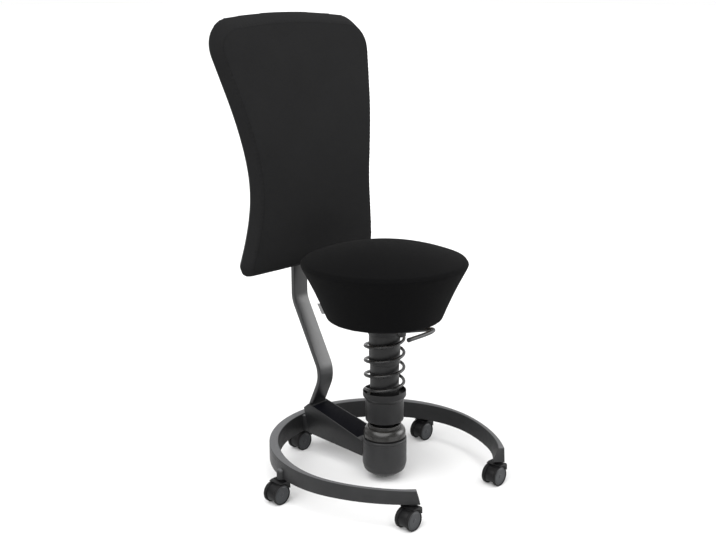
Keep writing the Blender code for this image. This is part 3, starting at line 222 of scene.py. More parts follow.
# Castors
CASTOR_SIDE_ANGLE = radians(107.1)
CASTOR_END_SETBACK = 0.0166
CASTOR_END_INSET = 0.0138
CASTOR_TRAIL = 0.0155
SOCKET_RADIUS = 0.0110
SOCKET_BELOW_TOP = 0.019
SOCKET_BELOW_RING = 0.0015
SOCKET_FOOT = RING_BOTTOM - SOCKET_BELOW_RING
SOCKET_DOME = 0.0085
END_SOCKET_RADIUS = 0.0068
END_SOCKET_HEIGHT = 0.012
WHEEL_RADIUS = 0.0246
WHEEL_WIDTH = 0.0085
WHEEL_SPACING = 0.0315
DISC_RADIUS = 0.0220
DISC_STEP_FROM = 0.0178
DISC_STEP_TO = 0.0190
HUB_CAP_RADIUS = 0.0042
HUB_FOOT_RADIUS = 0.0050
AXLE_ROOM = 0.0043
STEM_RADIUS = 0.005
STEM_DEPTH = 0.016
STEM_FLANGE_RADIUS = 0.009
STEM_FLANGE = 0.002
STEM_FOOT = 0.036
HOOD_WALL = 0.0012
HOOD_TYRE_GAP = 0.0012
HOOD_FRONT = 0.0255
HOOD_FRONT_LOW = 0.010
HOOD_TOP_BACK = 0.003
HOOD_BACK = radians(100)
HOOD_ROUNDING = 0.008
HOOD_BACK_ROUNDING = 0.010
HOOD_WEB_INSET = 0.0006
HOOD_WEB_FOOT = 0.0095
HOOD_WEB_BELOW_TREAD = 0.0022

# Support arm
ARM_REAR_HALF_WIDTH = 0.030
ARM_FRONT_HALF_WIDTH = 0.038
ARM_FRONT_Y = 0.036
ARM_FRONT_BOTTOM = 0.0535
ARM_FRONT_TOP = 0.0915
ARM_PEAK_Y = 0.236
ARM_PEAK = 0.140
ARM_HEEL_Y = 0.2535
ARM_HEEL = 0.126
ARM_WALL = 0.0035
ARM_FOOT_DRILL = 0.2
COVER_THICKNESS = 0.004
COVER_FRONT_Y = 0.060
COVER_REAR_Y = 0.224
BOLT_HEAD_RADIUS = 0.0065
BOLT_HEAD = 0.004
ARM_BOLT_X = 0.018
ARM_BOLT_HEIGHT = 0.079

# Backrest bar
BAR_WIDTH = 0.048
BAR_THICKNESS = 0.012
BAR_FOOT_Y = 0.2438
BAR_FOOT = 0.118
BAR_KNEE_Y = 0.1955
BAR_KNEE = 0.2225
BAR_HIP_Y = 0.292
BAR_HIP = 0.408
BAR_BEND_RADIUS = 0.070
BAR_TOP = 0.775

# Backrest pad, shell and fixing
BACK_BOTTOM = 0.512
BACK_TOP = 1.101
BACK_MIDDLE = 0.5 * (BACK_BOTTOM + BACK_TOP)
BACK_TOP_CROWN = 0.010
BACK_NEAREST_HEIGHT = 0.700
BACK_NEAREST_Y = 0.2145
BACK_CURVE_RADIUS = 0.87
BACK_STRAIGHT_FROM = 0.930
BACK_WAIST_HEIGHT = 0.706
BACK_WAIST_HALF_WIDTH = 0.187
BACK_FLARE = 0.235
BACK_WAIST_SOFTNESS = 0.022
BACK_TOP_CORNER = 0.064
BACK_BOTTOM_CORNER = 0.022
PAD_THICKNESS = 0.037
PAD_CROWN = 0.003
PAD_INSET = 0.0008
PAD_TOP_BAND = 0.009
PAD_BAND_DEPTH = 0.026
PAD_BORDER = ((-0.0015, 0.0006), (0.0, 0.0020), (0.0012, 0.0040), (0.0040, 0.0100), (0.0080, 0.0195),
              (0.0108, 0.0262), (0.0118, 0.0298), (0.0114, 0.0330), (0.0096, 0.0354), (0.0068, 0.0368))
PAD_INSET_DEPTH = 0.015
PAD_FOLD_DEPTH = 0.0015
PAD_STITCH_INSET = 0.0055
PAD_SEAM_DEPTH = 0.0012
PAD_SEAM_WIDTH = 0.0032
PAD_GIRTH = (0.006, 0.015)
SHELL_FROM = PAD_THICKNESS + GAP
SHELL_THICKNESS = 0.008
SHELL_TO = SHELL_FROM + SHELL_THICKNESS
SHELL_LIP = 0.001
SHELL_OUT = 0.004
MOUNT_HALF_WIDTH = 0.035
MOUNT_HEIGHT = 0.100
BACK_BOLT_SPACING = 0.050

# Upholstery
CLOTH_VOXEL = 0.005
CLOTH_PRESSURE = 4.0
CLOTH_FRAMES = 20
CLOTH_CAP = 0.004
CLOTH_QUALITY = 6
CLOTH_MASS = 0.3
CLOTH_BENDING = 6.0
SEAM_HOLD = 0.007
RIM_HOLD = 0.010
BASE_HOLD = 0.006
BACK_HOLD = 0.003
SEAT_TOP_FACING = 0.62
PAD_FRONT_FACING = 0.72
COVER_SMOOTH_BELOW = 80
STITCH_PITCH = 0.0044
STITCH_LENGTH = 0.0031
THREAD_RADIUS = 0.00032
WEAVE_PITCH = 0.0016


# Shapes

def linked(name, data):
    """A new object in the scene."""
    thing = bpy.data.objects.new(name, data)
    scene.collection.objects.link(thing)
    return thing


def temporary(mesh):
    """A working object for a mesh."""
    return linked("working", mesh)


def settled(thing, *spares):
    """The plain mesh that a working object's modifiers give; the working objects are removed."""
    graph = bpy.context.evaluated_depsgraph_get()
    mesh = bpy.data.meshes.new_from_object(thing.evaluated_get(graph), depsgraph=graph)
    for old in (thing, *spares):
        bpy.data.objects.remove(old)
    return mesh


def closed_mesh(points, faces):
    """A mesh whose meeting points are merged and whose faces point outwards."""
    shape = bmesh.new()
    spots = [shape.verts.new(p) for p in points]
    for face in faces:
        shape.faces.new([spots[i] for i in face])
    bmesh.ops.remove_doubles(shape, verts=shape.verts, dist=1e-7)
    bmesh.ops.recalc_face_normals(shape, faces=shape.faces)
    mesh = bpy.data.meshes.new("shape")
    shape.to_mesh(mesh)
    shape.free()
    return mesh


def skinned(rings, looped=False):
    """Equal rings of points skinned into a closed body, with flat ends unless the rings run in a loop."""
    count = len(rings[0])
    points = [p for ring in rings for p in ring]
    faces = []
    for k in range(0 if looped else 1, len(rings)):
        lower = (k - 1) % len(rings) * count
        upper = k * count
        for i in range(count):
            j = (i + 1) % count
            faces.append((lower + i, lower + j, upper + j, upper + i))
    if not looped:
        faces += [tuple(range(count)), tuple(range(len(points) - count, len(points)))]
    return closed_mesh(points, faces)


def arc(centre, radius, start, end, steps):
    """Points along a circular arc in a plane, ends included."""
    x, y = centre
    return [(x + radius * cos(a), y + radius * sin(a)) for a in np.linspace(start, end, steps + 1)]


def eased(corners, steps=5):
    """A closed outline of (across, up, rounding) corners, each rounded by its own radius."""
    outline = []
    for i, (x, y, rounding) in enumerate(corners):
        corner = Vector((x, y))
        if not rounding:
            outline.append((x, y))
            continue
        back = (Vector(corners[i - 1][:2]) - corner).normalized()
        on = (Vector(corners[(i + 1) % len(corners)][:2]) - corner).normalized()
        half = back.angle(on) / 2
        centre = corner + (back + on).normalized() * (rounding / sin(half))
        first = corner + back * (rounding / tan(half)) - centre
        last = corner + on * (rounding / tan(half)) - centre
        start = atan2(first.y, first.x)
        turn = (atan2(last.y, last.x) - start + pi) % (2 * pi) - pi
        outline += arc(centre, rounding, start, start + turn, steps)
    return outline


def turned(outline, steps=96):
    """A closed (radius, height) outline turned about Z."""
    angles = [2 * pi * k / steps for k in range(steps)]
    return skinned([[(r * cos(a), r * sin(a), z) for r, z in outline] for a in angles], looped=True)


def bar_between(start, end, radius, steps=32):
    """A plain round cutting bar."""
    start = Vector(start)
    along = Vector(end) - start
    bar = turned([(0, 0), (0, along.length), (radius, along.length), (radius, 0)], steps)
    bar.transform(Matrix.Translation(start) @ along.to_track_quat("Z", "Y").to_matrix().to_4x4())
    return bar


def block(low, high):
    """A box between two corners."""
    rings = [[(low[0], low[1], z), (high[0], low[1], z), (high[0], high[1], z), (low[0], high[1], z)]
             for z in (low[2], high[2])]
    return skinned(rings)


def prism(side_outline, half_width):
    """A (y, z) outline given width along X; half_width is a function of y."""
    return skinned([[(s * half_width(y), y, z) for y, z in side_outline] for s in (-1, 1)])


def rounded_route(corners, radius, steps):
    """A polyline in a plane whose inner corners are rounded."""
    inner = [(*c, radius) for c in corners[1:-1]]
    return [Vector(p) for p in eased([(*corners[0], 0), *inner, (*corners[-1], 0)], steps)]


def ribbon_outline(route, thickness):
    """The closed outline of a strip that follows a route in a plane."""
    sides = ([], [])
    for i, point in enumerate(route):
        along = (route[min(i + 1, len(route) - 1)] - route[max(i - 1, 0)]).normalized()
        across = Vector((-along.y, along.x)) * (thickness / 2)
        sides[0].append(tuple(point + across))
        sides[1].append(tuple(point - across))
    return sides[0] + sides[1][::-1]


def carved(mesh, tools=(), edge=0.0, sharper_than=30, steps=3):
    """Cuts shapes out of a mesh or joins them on, then rounds its edges."""
    body = temporary(mesh)
    spares = []
    for operation, tool in tools:
        spares.append(temporary(tool))
        boolean = body.modifiers.new("shape", "BOOLEAN")
        boolean.object = spares[-1]
        boolean.operation = operation
        boolean.solver = "EXACT"
    if edge:
        bevel = body.modifiers.new("rounded_edges", "BEVEL")
        bevel.width = edge
        bevel.segments = steps
        bevel.limit_method = "ANGLE"
        bevel.angle_limit = radians(sharper_than)
    return settled(body, *spares)


def smooth_through(points, steps):
    """Points on a Catmull-Rom curve through a route's own points."""
    route = [np.array(p, float) for p in points]
    ends = [2 * route[0] - route[1], *route, 2 * route[-1] - route[-2]]
    smooth = []
    for a, b, c, d in zip(ends, ends[1:], ends[2:], ends[3:]):
        for t in np.linspace(0, 1, steps, endpoint=False):
            smooth.append(0.5 * (2 * b + (c - a) * t + (2 * a - 5 * b + 4 * c - d) * t**2
                                 + (3 * b - a - 3 * c + d) * t**3))
    smooth.append(route[-1])
    return smooth


def path_mesh(points, looped=False):
    """A mesh of edges only, which the node trees follow."""
    mesh = bpy.data.meshes.new("path")
    count = len(points)
    edges = [(i, (i + 1) % count) for i in range(count if looped else count - 1)]
    mesh.from_pydata([tuple(p) for p in points], edges, [])
    return mesh


def piece(name, mesh, look, body, replaced=(), smooth_below=35):
    """A finished piece on its body, in place of its CAD nodes; look is None where a tree gave its finish."""
    mesh.transform(Matrix.Translation((0, 0, FLOOR)))
    mesh.name = name
    if look:
        mesh.materials.clear()
        mesh.materials.append(looks[look])
    mesh.shade_smooth()
    mesh.set_sharp_from_angle(angle=radians(smooth_below))
    thing = linked(name, mesh)
    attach(thing, body)
    if replaced:
        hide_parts(*replaced)
    return thing


def lathed(name, corners, look, body, node):
    """A finished piece turned from rounded corners, in place of one CAD node."""
    return piece(name, turned(eased(corners)), look, body, [node])


def placed(mesh, place):
    """A copy of a mesh, moved to its place."""
    own = mesh.copy()
    own.transform(place)
    return own


# Node trees for what repeats or follows a path

def new_tree(name, *inputs):
    """An empty Geometry Nodes tree with named inputs."""
    tree = bpy.data.node_groups.new(name, "GeometryNodeTree")
    tree.interface.new_socket("Geometry", in_out="INPUT", socket_type="NodeSocketGeometry")
    for label, kind in inputs:
        tree.interface.new_socket(label, in_out="INPUT", socket_type=f"NodeSocket{kind}")
    tree.interface.new_socket("Geometry", in_out="OUTPUT", socket_type="NodeSocketGeometry")
    return tree, tree.nodes.new("NodeGroupInput").outputs


def add(tree, kind, values=None, **settings):
    """A node with its settings, whose inputs are plain values or other nodes' outputs."""
    made = tree.nodes.new(kind)
    for key, value in settings.items():
        setattr(made, key, value)
    for socket, value in (values or {}).items():
        if isinstance(value, bpy.types.NodeSocket):
            tree.links.new(value, made.inputs[socket])
        else:
            made.inputs[socket].default_value = value
    return made


def calc(tree, operation, *values):
    """A number worked out from others."""
    return add(tree, "ShaderNodeMath", dict(enumerate(values)), operation=operation).outputs[0]


def end_tree(tree, geometry, finish):
    """Realizes what a tree has made and gives it its finish."""
    real = add(tree, "GeometryNodeRealizeInstances", {0: geometry})
    dressed = add(tree, "GeometryNodeSetMaterial", {"Geometry": real.outputs[0], "Material": finish})
    add(tree, "NodeGroupOutput", {0: dressed.outputs[0]})
    return tree


def wire_tree():
    """A round wire along a path."""
    tree, given = new_tree("bent_wire", ("Wire Radius", "Float"), ("Sides", "Int"), ("Finish", "Material"))
    line = add(tree, "GeometryNodeMeshToCurve", {0: given["Geometry"]})
    section = add(tree, "GeometryNodeCurvePrimitiveCircle",
                  {"Resolution": given["Sides"], "Radius": given["Wire Radius"]})
    wire = add(tree, "GeometryNodeCurveToMesh", {"Curve": line.outputs[0], "Profile Curve": section.outputs[0],
                                                 "Fill Caps": True})
    return end_tree(tree, wire.outputs[0], given["Finish"])


def stitch_tree():
    """Rounded stitches, or staples, set along a path at an even pitch."""
    tree, given = new_tree("stitch_row", ("Pitch", "Float"), ("Stitch Length", "Float"),
                           ("Thread Radius", "Float"), ("Finish", "Material"))
    line = add(tree, "GeometryNodeMeshToCurve", {0: given["Geometry"]})
    spots = add(tree, "GeometryNodeResampleCurve", {"Curve": line.outputs[0], "Length": given["Pitch"]},
                mode="LENGTH")
    bead = add(tree, "GeometryNodeMeshUVSphere", {"Segments": 8, "Rings": 6, "Radius": 1.0})
    half = calc(tree, "MULTIPLY", given["Stitch Length"], 0.5)
    thread = given["Thread Radius"]
    size = add(tree, "ShaderNodeCombineXYZ", {0: thread, 1: thread, 2: half})
    stitch = add(tree, "GeometryNodeTransform", {"Geometry": bead.outputs[0], "Scale": size.outputs[0]})
    along = add(tree, "GeometryNodeInputTangent")
    facing = add(tree, "FunctionNodeAlignRotationToVector", {"Vector": along.outputs[0]}, axis="Z")
    row = add(tree, "GeometryNodeInstanceOnPoints", {"Points": spots.outputs[0], "Instance": stitch.outputs[0],
                                                     "Rotation": facing.outputs[0]})
    return end_tree(tree, row.outputs[0], given["Finish"])


def screw_tree():
    """One screw head on each point, all facing one way."""
    tree, given = new_tree("screw_heads", ("Head", "Object"), ("Facing", "Vector"), ("Finish", "Material"))
    head = add(tree, "GeometryNodeObjectInfo", {"Object": given["Head"]}, transform_space="ORIGINAL")
    facing = add(tree, "FunctionNodeAlignRotationToVector", {"Vector": given["Facing"]}, axis="Z")
    heads = add(tree, "GeometryNodeInstanceOnPoints",
                {"Points": given["Geometry"], "Instance": head.outputs["Geometry"],
                 "Rotation": facing.outputs[0]})
    return end_tree(tree, heads.outputs[0], given["Finish"])


def grown(path, tree, **sizes):
    """Runs a tree on a path, with its inputs set by their identifiers, and returns the plain mesh."""
    host = temporary(path)
    grow = host.modifiers.new("grow", "NODES")
    grow.node_group = tree
    for entry in tree.interface.items_tree:
        label = entry.name.replace(" ", "_").lower()
        if entry.in_out == "INPUT" and label in sizes:
            grow[entry.identifier] = sizes[label]
    return settled(host)


def socket_head(radius, height):
    """A low round screw head with a six-sided recess, standing on z = 0."""
    steps = 24
    key = 0.5 * radius

    def ring(size, z, six_sided=False):
        points = []
        for k in range(steps):
            a = 2 * pi * k / steps
            bend = cos((a + pi / 6) % (pi / 3) - pi / 6) if six_sided else 1.0
            points.append((size / bend * cos(a), size / bend * sin(a), z))
        return points

    rings = [ring(radius, 0), ring(radius, 0.55 * height), ring(0.97 * radius, 0.78 * height),
             ring(0.86 * radius, 0.95 * height), ring(0.74 * radius, height), ring(1.06 * key, height, True),
             ring(key, 0.94 * height, True), ring(key, 0.45 * height, True)]
    return skinned(rings)


def screw_heads(spots, radius, height, facing):
    """Steel screw heads on their spots, all facing one way."""
    head = temporary(socket_head(radius, height))
    heads = grown(path_mesh(spots), screws, head=head, facing=facing, finish=looks["steel"])
    bpy.data.objects.remove(head)
    return heads


def stitched(row):
    """A closed row of the covers' stitches."""
    return grown(path_mesh(row, True), stitches, pitch=STITCH_PITCH, stitch_length=STITCH_LENGTH,
                 thread_radius=THREAD_RADIUS, finish=looks["thread"])


# Finishes

def finish(name, roughness, metallic=0.0, **constants):
    """A new material, its tree and its shader, with the values that are the same all over."""
    material = bpy.data.materials.new(name)
    material.use_nodes = True
    shader = material.node_tree.nodes["Principled BSDF"]
    shader.inputs["Roughness"].default_value = roughness
    shader.inputs["Metallic"].default_value = metallic
    for label, value in constants.items():
        shader.inputs[label.replace("_", " ")].default_value = value
    return material, material.node_tree, shader


def object_place(tree, stretch=(1, 1, 1)):
    """Object coordinates, stretched for grain that runs one way."""
    place = add(tree, "ShaderNodeTexCoord")
    return add(tree, "ShaderNodeMapping", {"Vector": place.outputs["Object"], "Scale": stretch}).outputs[0]


def noise(tree, place, scale, detail=3.0, roughness=0.55):
    """A noise field's grey value."""
    return add(tree, "ShaderNodeTexNoise", {"Vector": place, "Scale": scale, "Detail": detail,
                                            "Roughness": roughness}).outputs[0]


def between(tree, share, low, high, start=0.3, end=0.7):
    """A number that runs from low to high while a share runs from start to end."""
    return add(tree, "ShaderNodeMapRange", {0: share, 1: start, 2: end, 3: low, 4: high}).outputs[0]


def two_tone(tree, shader, share, dark, light):
    """A colour that runs between two tones."""
    mix = add(tree, "ShaderNodeMix", {0: share, 6: (*dark, 1), 7: (*light, 1)}, data_type="RGBA")
    tree.links.new(mix.outputs[2], shader.inputs["Base Color"])


def relief(tree, shader, height, depth, strength=1.0):
    """Bump of a real depth in metres."""
    bump = add(tree, "ShaderNodeBump", {"Height": height, "Distance": depth, "Strength": strength})
    tree.links.new(bump.outputs[0], shader.inputs["Normal"])


def sum_of(tree, first, second, weight):
    """The first value plus a share of the second."""
    return calc(tree, "MULTIPLY_ADD", second, weight, first)


def wave(tree, along, pitch):
    """A sine wave of one pitch, from -1 to 1."""
    return calc(tree, "SINE", calc(tree, "MULTIPLY", along, 2 * pi / pitch))


def coated(name, dark, light, rough, specular=0.5, grain=1100.0, depth=0.00006, **constants):
    """A painted, powder-coated or moulded surface: fine pebbled relief, faint clouding and uneven gloss."""
    material, tree, shader = finish(name, rough[0], Specular_IOR_Level=specular, **constants)
    place = object_place(tree)
    cloud = noise(tree, place, 22.0, 4.0)
    two_tone(tree, shader, between(tree, cloud, 0.0, 1.0), dark, light)
    fine = noise(tree, place, grain, 2.0, 0.5)
    tree.links.new(between(tree, noise(tree, place, 140.0, 3.0), *rough), shader.inputs["Roughness"])
    relief(tree, shader, sum_of(tree, fine, cloud, 0.3), depth)
    return material


def painted_top_light(material, tone):
    """Paints light onto the faces that look straight up: a paler tone blended into the base colour there, a
    painted highlight that stands in for the light from above.
    """
    tree = material.node_tree
    shader = tree.nodes["Principled BSDF"]
    coat = shader.inputs["Base Color"].links[0].from_socket
    facing = add(tree, "ShaderNodeNewGeometry").outputs["Normal"]
    up = add(tree, "ShaderNodeSeparateXYZ", {0: facing}).outputs[2]
    # Painted light: the paler tone's share grows as a face turns up towards the light.
    share = between(tree, up, 0.0, 1.0, 0.55, 0.95)
    mix = add(tree, "ShaderNodeMix", {0: share, 6: coat, 7: (*tone, 1)}, data_type="RGBA")
    tree.links.new(mix.outputs[2], shader.inputs["Base Color"])


def brushed(name, dark, light, rough, stretch, depth=0.00002):
    """Metal with fine marks that run one way."""
    material, tree, shader = finish(name, rough[0], 1.0)
    marks = noise(tree, object_place(tree, stretch), 260.0, 4.0, 0.65)
    share = between(tree, marks, 0.0, 1.0)
    two_tone(tree, shader, share, dark, light)
    tree.links.new(between(tree, marks, *rough), shader.inputs["Roughness"])
    relief(tree, shader, marks, depth)
    return material


def woven(name, dark, light, pitch):
    """Close black upholstery cloth: crossing yarns on the cover's own cloth map, slubs and faint wear."""
    material, tree, shader = finish(name, 0.92, Sheen_Weight=0.02, Sheen_Roughness=0.5,
                                    Specular_IOR_Level=0.03, IOR=1.15)
    cloth = add(tree, "ShaderNodeUVMap", uv_map="cloth").outputs[0]
    parts = add(tree, "ShaderNodeSeparateXYZ", {0: cloth})
    cross = calc(tree, "MULTIPLY", *(wave(tree, parts.outputs[axis], pitch) for axis in (0, 1)))
    yarn = between(tree, cross, 0.0, 1.0, -1.0, 1.0)
    drawn_out = add(tree, "ShaderNodeMapping", {"Vector": cloth, "Scale": (1, 7, 1)})
    slub = noise(tree, drawn_out.outputs[0], 90.0, 3.0)
    wear = noise(tree, cloth, 9.0, 3.0)
    tone = sum_of(tree, between(tree, wear, 0.15, 0.30), yarn, 0.25)
    tone = sum_of(tree, tone, between(tree, slub, 0, 1), 0.3)
    two_tone(tree, shader, tone, dark, light)
    tree.links.new(between(tree, slub, 0.86, 0.97), shader.inputs["Roughness"])
    relief(tree, shader, sum_of(tree, yarn, slub, 0.5), 0.00025, 0.7)
    return material


def taped(name, dark, light):
    """Pale ribbed tape of the sewn tab."""
    material, tree, shader = finish(name, 0.8, Sheen_Weight=0.2)
    place = object_place(tree)
    up = add(tree, "ShaderNodeSeparateXYZ", {0: place}).outputs[2]
    share = between(tree, wave(tree, up, TAPE_RIB_PITCH), 0.0, 1.0, -1.0, 1.0)
    two_tone(tree, shader, sum_of(tree, share, noise(tree, place, 300.0), 0.4), dark, light)
    relief(tree, shader, share, 0.00015)
    return material


def plywood(name):
    """Birch board under the seat: long grain with darker pores."""
    material, tree, shader = finish(name, 0.62)
    grain = noise(tree, object_place(tree, (6, 90, 6)), 3.2, 6.0, 0.6)
    pores = noise(tree, object_place(tree, (40, 700, 40)), 2.0, 2.0)
    two_tone(tree, shader, sum_of(tree, between(tree, grain, 0.0, 0.8), pores, 0.2), (0.30, 0.19, 0.10),
             (0.52, 0.37, 0.22))
    tree.links.new(between(tree, pores, 0.5, 0.75), shader.inputs["Roughness"])
    relief(tree, shader, pores, 0.0001)
    return material


# Coats: material, dark and light tone, range of roughness, specular level, grain and depth of the relief
coats = {
    "ring": ("ring_powder_coat", (0.0105, 0.0107, 0.0112), (0.0145, 0.0148, 0.0155), (0.44, 0.54), 0.3),
    "arm": ("arm_powder_coat", (0.0058, 0.006, 0.0064), (0.0081, 0.0083, 0.0088), (0.4, 0.5), 0.35),
    "bar": ("bar_satin_coat", (0.006, 0.0062, 0.007), (0.0088, 0.0091, 0.01), (0.28, 0.34), 0.5, 1500, 2e-5),
    "lever": ("lever_dark_wire", (0.0065, 0.0066, 0.007), (0.009, 0.0091, 0.0096), (0.28, 0.36), 0.45, 1500,
              2e-5),
    "housing": ("housing_moulded_black", (0.004, 0.004, 0.0043), (0.0057, 0.0057, 0.0061), (0.36, 0.48), 0.3),
    "sleeve": ("sleeve_satin_grey", (0.0056, 0.0056, 0.0058), (0.0076, 0.0076, 0.0079), (0.34, 0.44), 0.3, 1700,
               3e-5),
    "shell": ("shell_grained_black", (0.01, 0.01, 0.011), (0.014, 0.014, 0.015), (0.5, 0.62), 0.5, 420, 16e-5),
    "foot": ("foot_moulded_grey", (0.0089, 0.0089, 0.0095), (0.0118, 0.0118, 0.0125), (0.4, 0.52), 0.4),
    "bell": ("bell_gloss_black", (0.01, 0.0094, 0.0086), (0.013, 0.0122, 0.0112), (0.26, 0.34), 0.5, 500, 1e-5),
    "hood": ("castor_hood_black", (0.0028, 0.0028, 0.0031), (0.0042, 0.0042, 0.0046), (0.36, 0.48), 0.2),
    "disc": ("castor_disc_grey", (0.0125, 0.0138, 0.0158), (0.017, 0.0186, 0.021), (0.34, 0.46), 0.4),
    "tyre": ("castor_tyre_black", (0.0026, 0.0026, 0.0028), (0.004, 0.004, 0.0043), (0.5, 0.64), 0.2, 800,
             8e-5),
    "shank": ("castor_shank_black", (0.006, 0.006, 0.0065), (0.01, 0.01, 0.011), (0.4, 0.52), 0.3),
    "rubber": ("tip_rubber_black", (0.006, 0.006, 0.006), (0.01, 0.01, 0.01), (0.6, 0.74), 0.5, 900),
    "wire": ("spring_dark_wire", (0.0034, 0.0034, 0.0036), (0.0052, 0.0052, 0.0055), (0.24, 0.32), 0.4, 900,
             2e-5),
    "thread": ("cover_black_thread", (0.003, 0.003, 0.0032), (0.005, 0.005, 0.0053), (0.8, 0.9), 0.05, 3000),
}
looks = {look: coated(*values) for look, values in coats.items()}
# Painted light on the ring: its upward faces are painted paler, as if lit from above.
painted_top_light(looks["ring"], (0.075, 0.076, 0.079))
looks |= {
    "insert": coated("insert_blue_black", (0.0024, 0.0025, 0.0037), (0.0032, 0.0033, 0.0048), (0.52, 0.64), 0.2,
                     IOR=1.15),
    "steel": brushed("plain_bright_steel", (0.36, 0.36, 0.37), (0.48, 0.48, 0.49), (0.22, 0.36), (1, 1, 9)),
    # The seat's and the backrest's covers are the same black cloth; the backrest's tones are painted paler than
    # the seat's, standing in for the stronger light that falls on its front face.
    "seat_cloth": woven("seat_black_cloth", (0.0027, 0.0027, 0.0028), (0.0048, 0.0048, 0.005), WEAVE_PITCH),
    "back_cloth": woven("back_black_cloth", (0.0088, 0.0088, 0.009), (0.0157, 0.0157, 0.0161), WEAVE_PITCH),
    "board": plywood("seat_birch_board"),
    "tape": taped("tab_pale_tape", (0.15, 0.15, 0.15), (0.24, 0.24, 0.24)),
}
wires = wire_tree()
stitches = stitch_tree()
screws = screw_tree()


# Foot and column

def make_foot():
    """Foot with its groove and the glossy turning bell that sits on it."""
    line = FOOT_TOP - FOOT_LINE_BELOW_TOP
    groove = FOOT_RADIUS - FOOT_LINE_DEPTH
    lathed("foot_turned", [
        (0, FOOT_LIFT, 0), (FOOT_FLAT_RADIUS, FOOT_LIFT, 0.002), (FOOT_KNEE_RADIUS, FOOT_KNEE, 0.012),
        (FOOT_RADIUS, FOOT_SIDE_FROM, 0.022), (FOOT_RADIUS, line - 0.0008, 0.0004),
        (groove, line - 0.0004, 0.0002), (groove, line + 0.0004, 0.0002), (FOOT_RADIUS, line + 0.0008, 0.0004),
        (FOOT_RADIUS, FOOT_TOP, 0.0024), (FOOT_MOUTH_RADIUS, FOOT_TOP, 0.0006),
        (FOOT_MOUTH_RADIUS, FOOT_MOUTH_FLOOR, 0), (FOOT_BORE, FOOT_MOUTH_FLOOR, 0), (FOOT_BORE, FOOT_FLOOR, 0),
        (0, FOOT_FLOOR, 0)], "foot", "base", "foot_cup")

    shoulder_from = BELL_FOOT + BELL_SKIRT
    rise = BELL_TOP - BELL_NECK - shoulder_from
    shoulder = [(BELL_TOP_RADIUS + (BELL_RADIUS - BELL_TOP_RADIUS) * cos(a), shoulder_from + rise * sin(a))
                for a in np.linspace(0.5 * pi, 0, 24)]
    skirt = BELL_FOOT + BELL_PLINTH
    bell = [(BELL_BORE, BELL_FOOT), *arc((BELL_BORE + 0.002, BELL_TOP - 0.002), 0.002, pi, 0.5 * pi, 5),
            *arc((BELL_TOP_RADIUS - 0.0010, BELL_TOP - 0.0010), 0.0010, 0.5 * pi, 0, 5), *shoulder,
            *arc((BELL_RADIUS - 0.0018, skirt + 0.0018), 0.0018, 0, -0.5 * pi, 6), (BELL_PLINTH_RADIUS, skirt),
            (BELL_PLINTH_RADIUS, BELL_FOOT)]
    piece("bell_gloss", turned(bell), "bell", "stiffness_ring", ["side_stiffness_ring"])


def make_column():
    """Neck, housing, spring cup, guide tube, sleeve and collar."""
    neck_bore = NECK_RADIUS - NECK_WALL
    neck_floor = NECK_FOOT + NECK_WALL
    lathed("neck_tube", [
        (0, NECK_FOOT, 0), (NECK_RADIUS, NECK_FOOT, 0.001), (NECK_RADIUS, NECK_TOP, 0.001),
        (neck_bore, NECK_TOP, 0), (neck_bore, neck_floor, 0), (0, neck_floor, 0)],
        "housing", "column", "column_tube")

    bore = GUIDE_RADIUS + GAP
    neck_room = NECK_RADIUS + RUNNING_GAP
    housing_top = CUP_BOTTOM - GAP
    step = HOUSING_BOTTOM + HOUSING_FLOOR
    lathed("housing_turned", [
        (neck_room, HOUSING_BOTTOM, 0.0005), (neck_room, step, 0), (bore, step, 0), (bore, housing_top, 0),
        (HOUSING_RADIUS, housing_top, 0.0008), (HOUSING_RADIUS, HOUSING_BOTTOM, 0.004)],
        "housing", "lift", "column_housing")
    lathed("cup_turned", [
        (bore, CUP_BOTTOM, 0), (bore, CUP_FLOOR, 0), (CUP_BORE, CUP_FLOOR, 0.002), (CUP_BORE, CUP_RIM, 0.0008),
        (CUP_RADIUS, CUP_RIM, 0.0010), (CUP_RADIUS, CUP_SHOULDER, 0.004), (HOUSING_RADIUS, CUP_BOTTOM, 0.0006)],
        "housing", "lift", "spring_cup")

    guide_bore = GUIDE_RADIUS - GUIDE_WALL
    guide_lid = GUIDE_TOP - GUIDE_WALL
    lathed("guide_turned", [
        (guide_bore, step + GAP, 0), (guide_bore, guide_lid, 0), (0, guide_lid, 0), (0, GUIDE_TOP, 0),
        (GUIDE_RADIUS, GUIDE_TOP, 0.0015), (GUIDE_RADIUS, step + GAP, 0)],
        "sleeve", "lift", "guide_tube")

    inside = GUIDE_RADIUS + RUNNING_GAP
    sleeve_top = COLLAR_TOP - GAP
    sleeve_lid = sleeve_top - SLEEVE_LID
    lathed("sleeve_turned", [
        (inside, SLEEVE_BOTTOM, 0.0006), (inside, sleeve_lid, 0), (0, sleeve_lid, 0), (0, sleeve_top, 0),
        (SLEEVE_RADIUS, sleeve_top, 0.0006), (SLEEVE_RADIUS, SLEEVE_BOTTOM, 0.0018)],
        "sleeve", "bounce", "upper_sleeve")
    collar_bore = SLEEVE_RADIUS + GAP
    hub_foot = COLLAR_BOTTOM - COLLAR_HUB
    lathed("collar_turned", [
        (collar_bore, hub_foot, 0.0003), (collar_bore, COLLAR_TOP, 0), (COLLAR_RADIUS, COLLAR_TOP, 0.0015),
        (COLLAR_RADIUS, COLLAR_BOTTOM, 0.0022), (COLLAR_HUB_RADIUS, COLLAR_BOTTOM, 0.0008),
        (COLLAR_HUB_FOOT_RADIUS, hub_foot, 0.0004)], "housing", "bounce", "spring_collar")


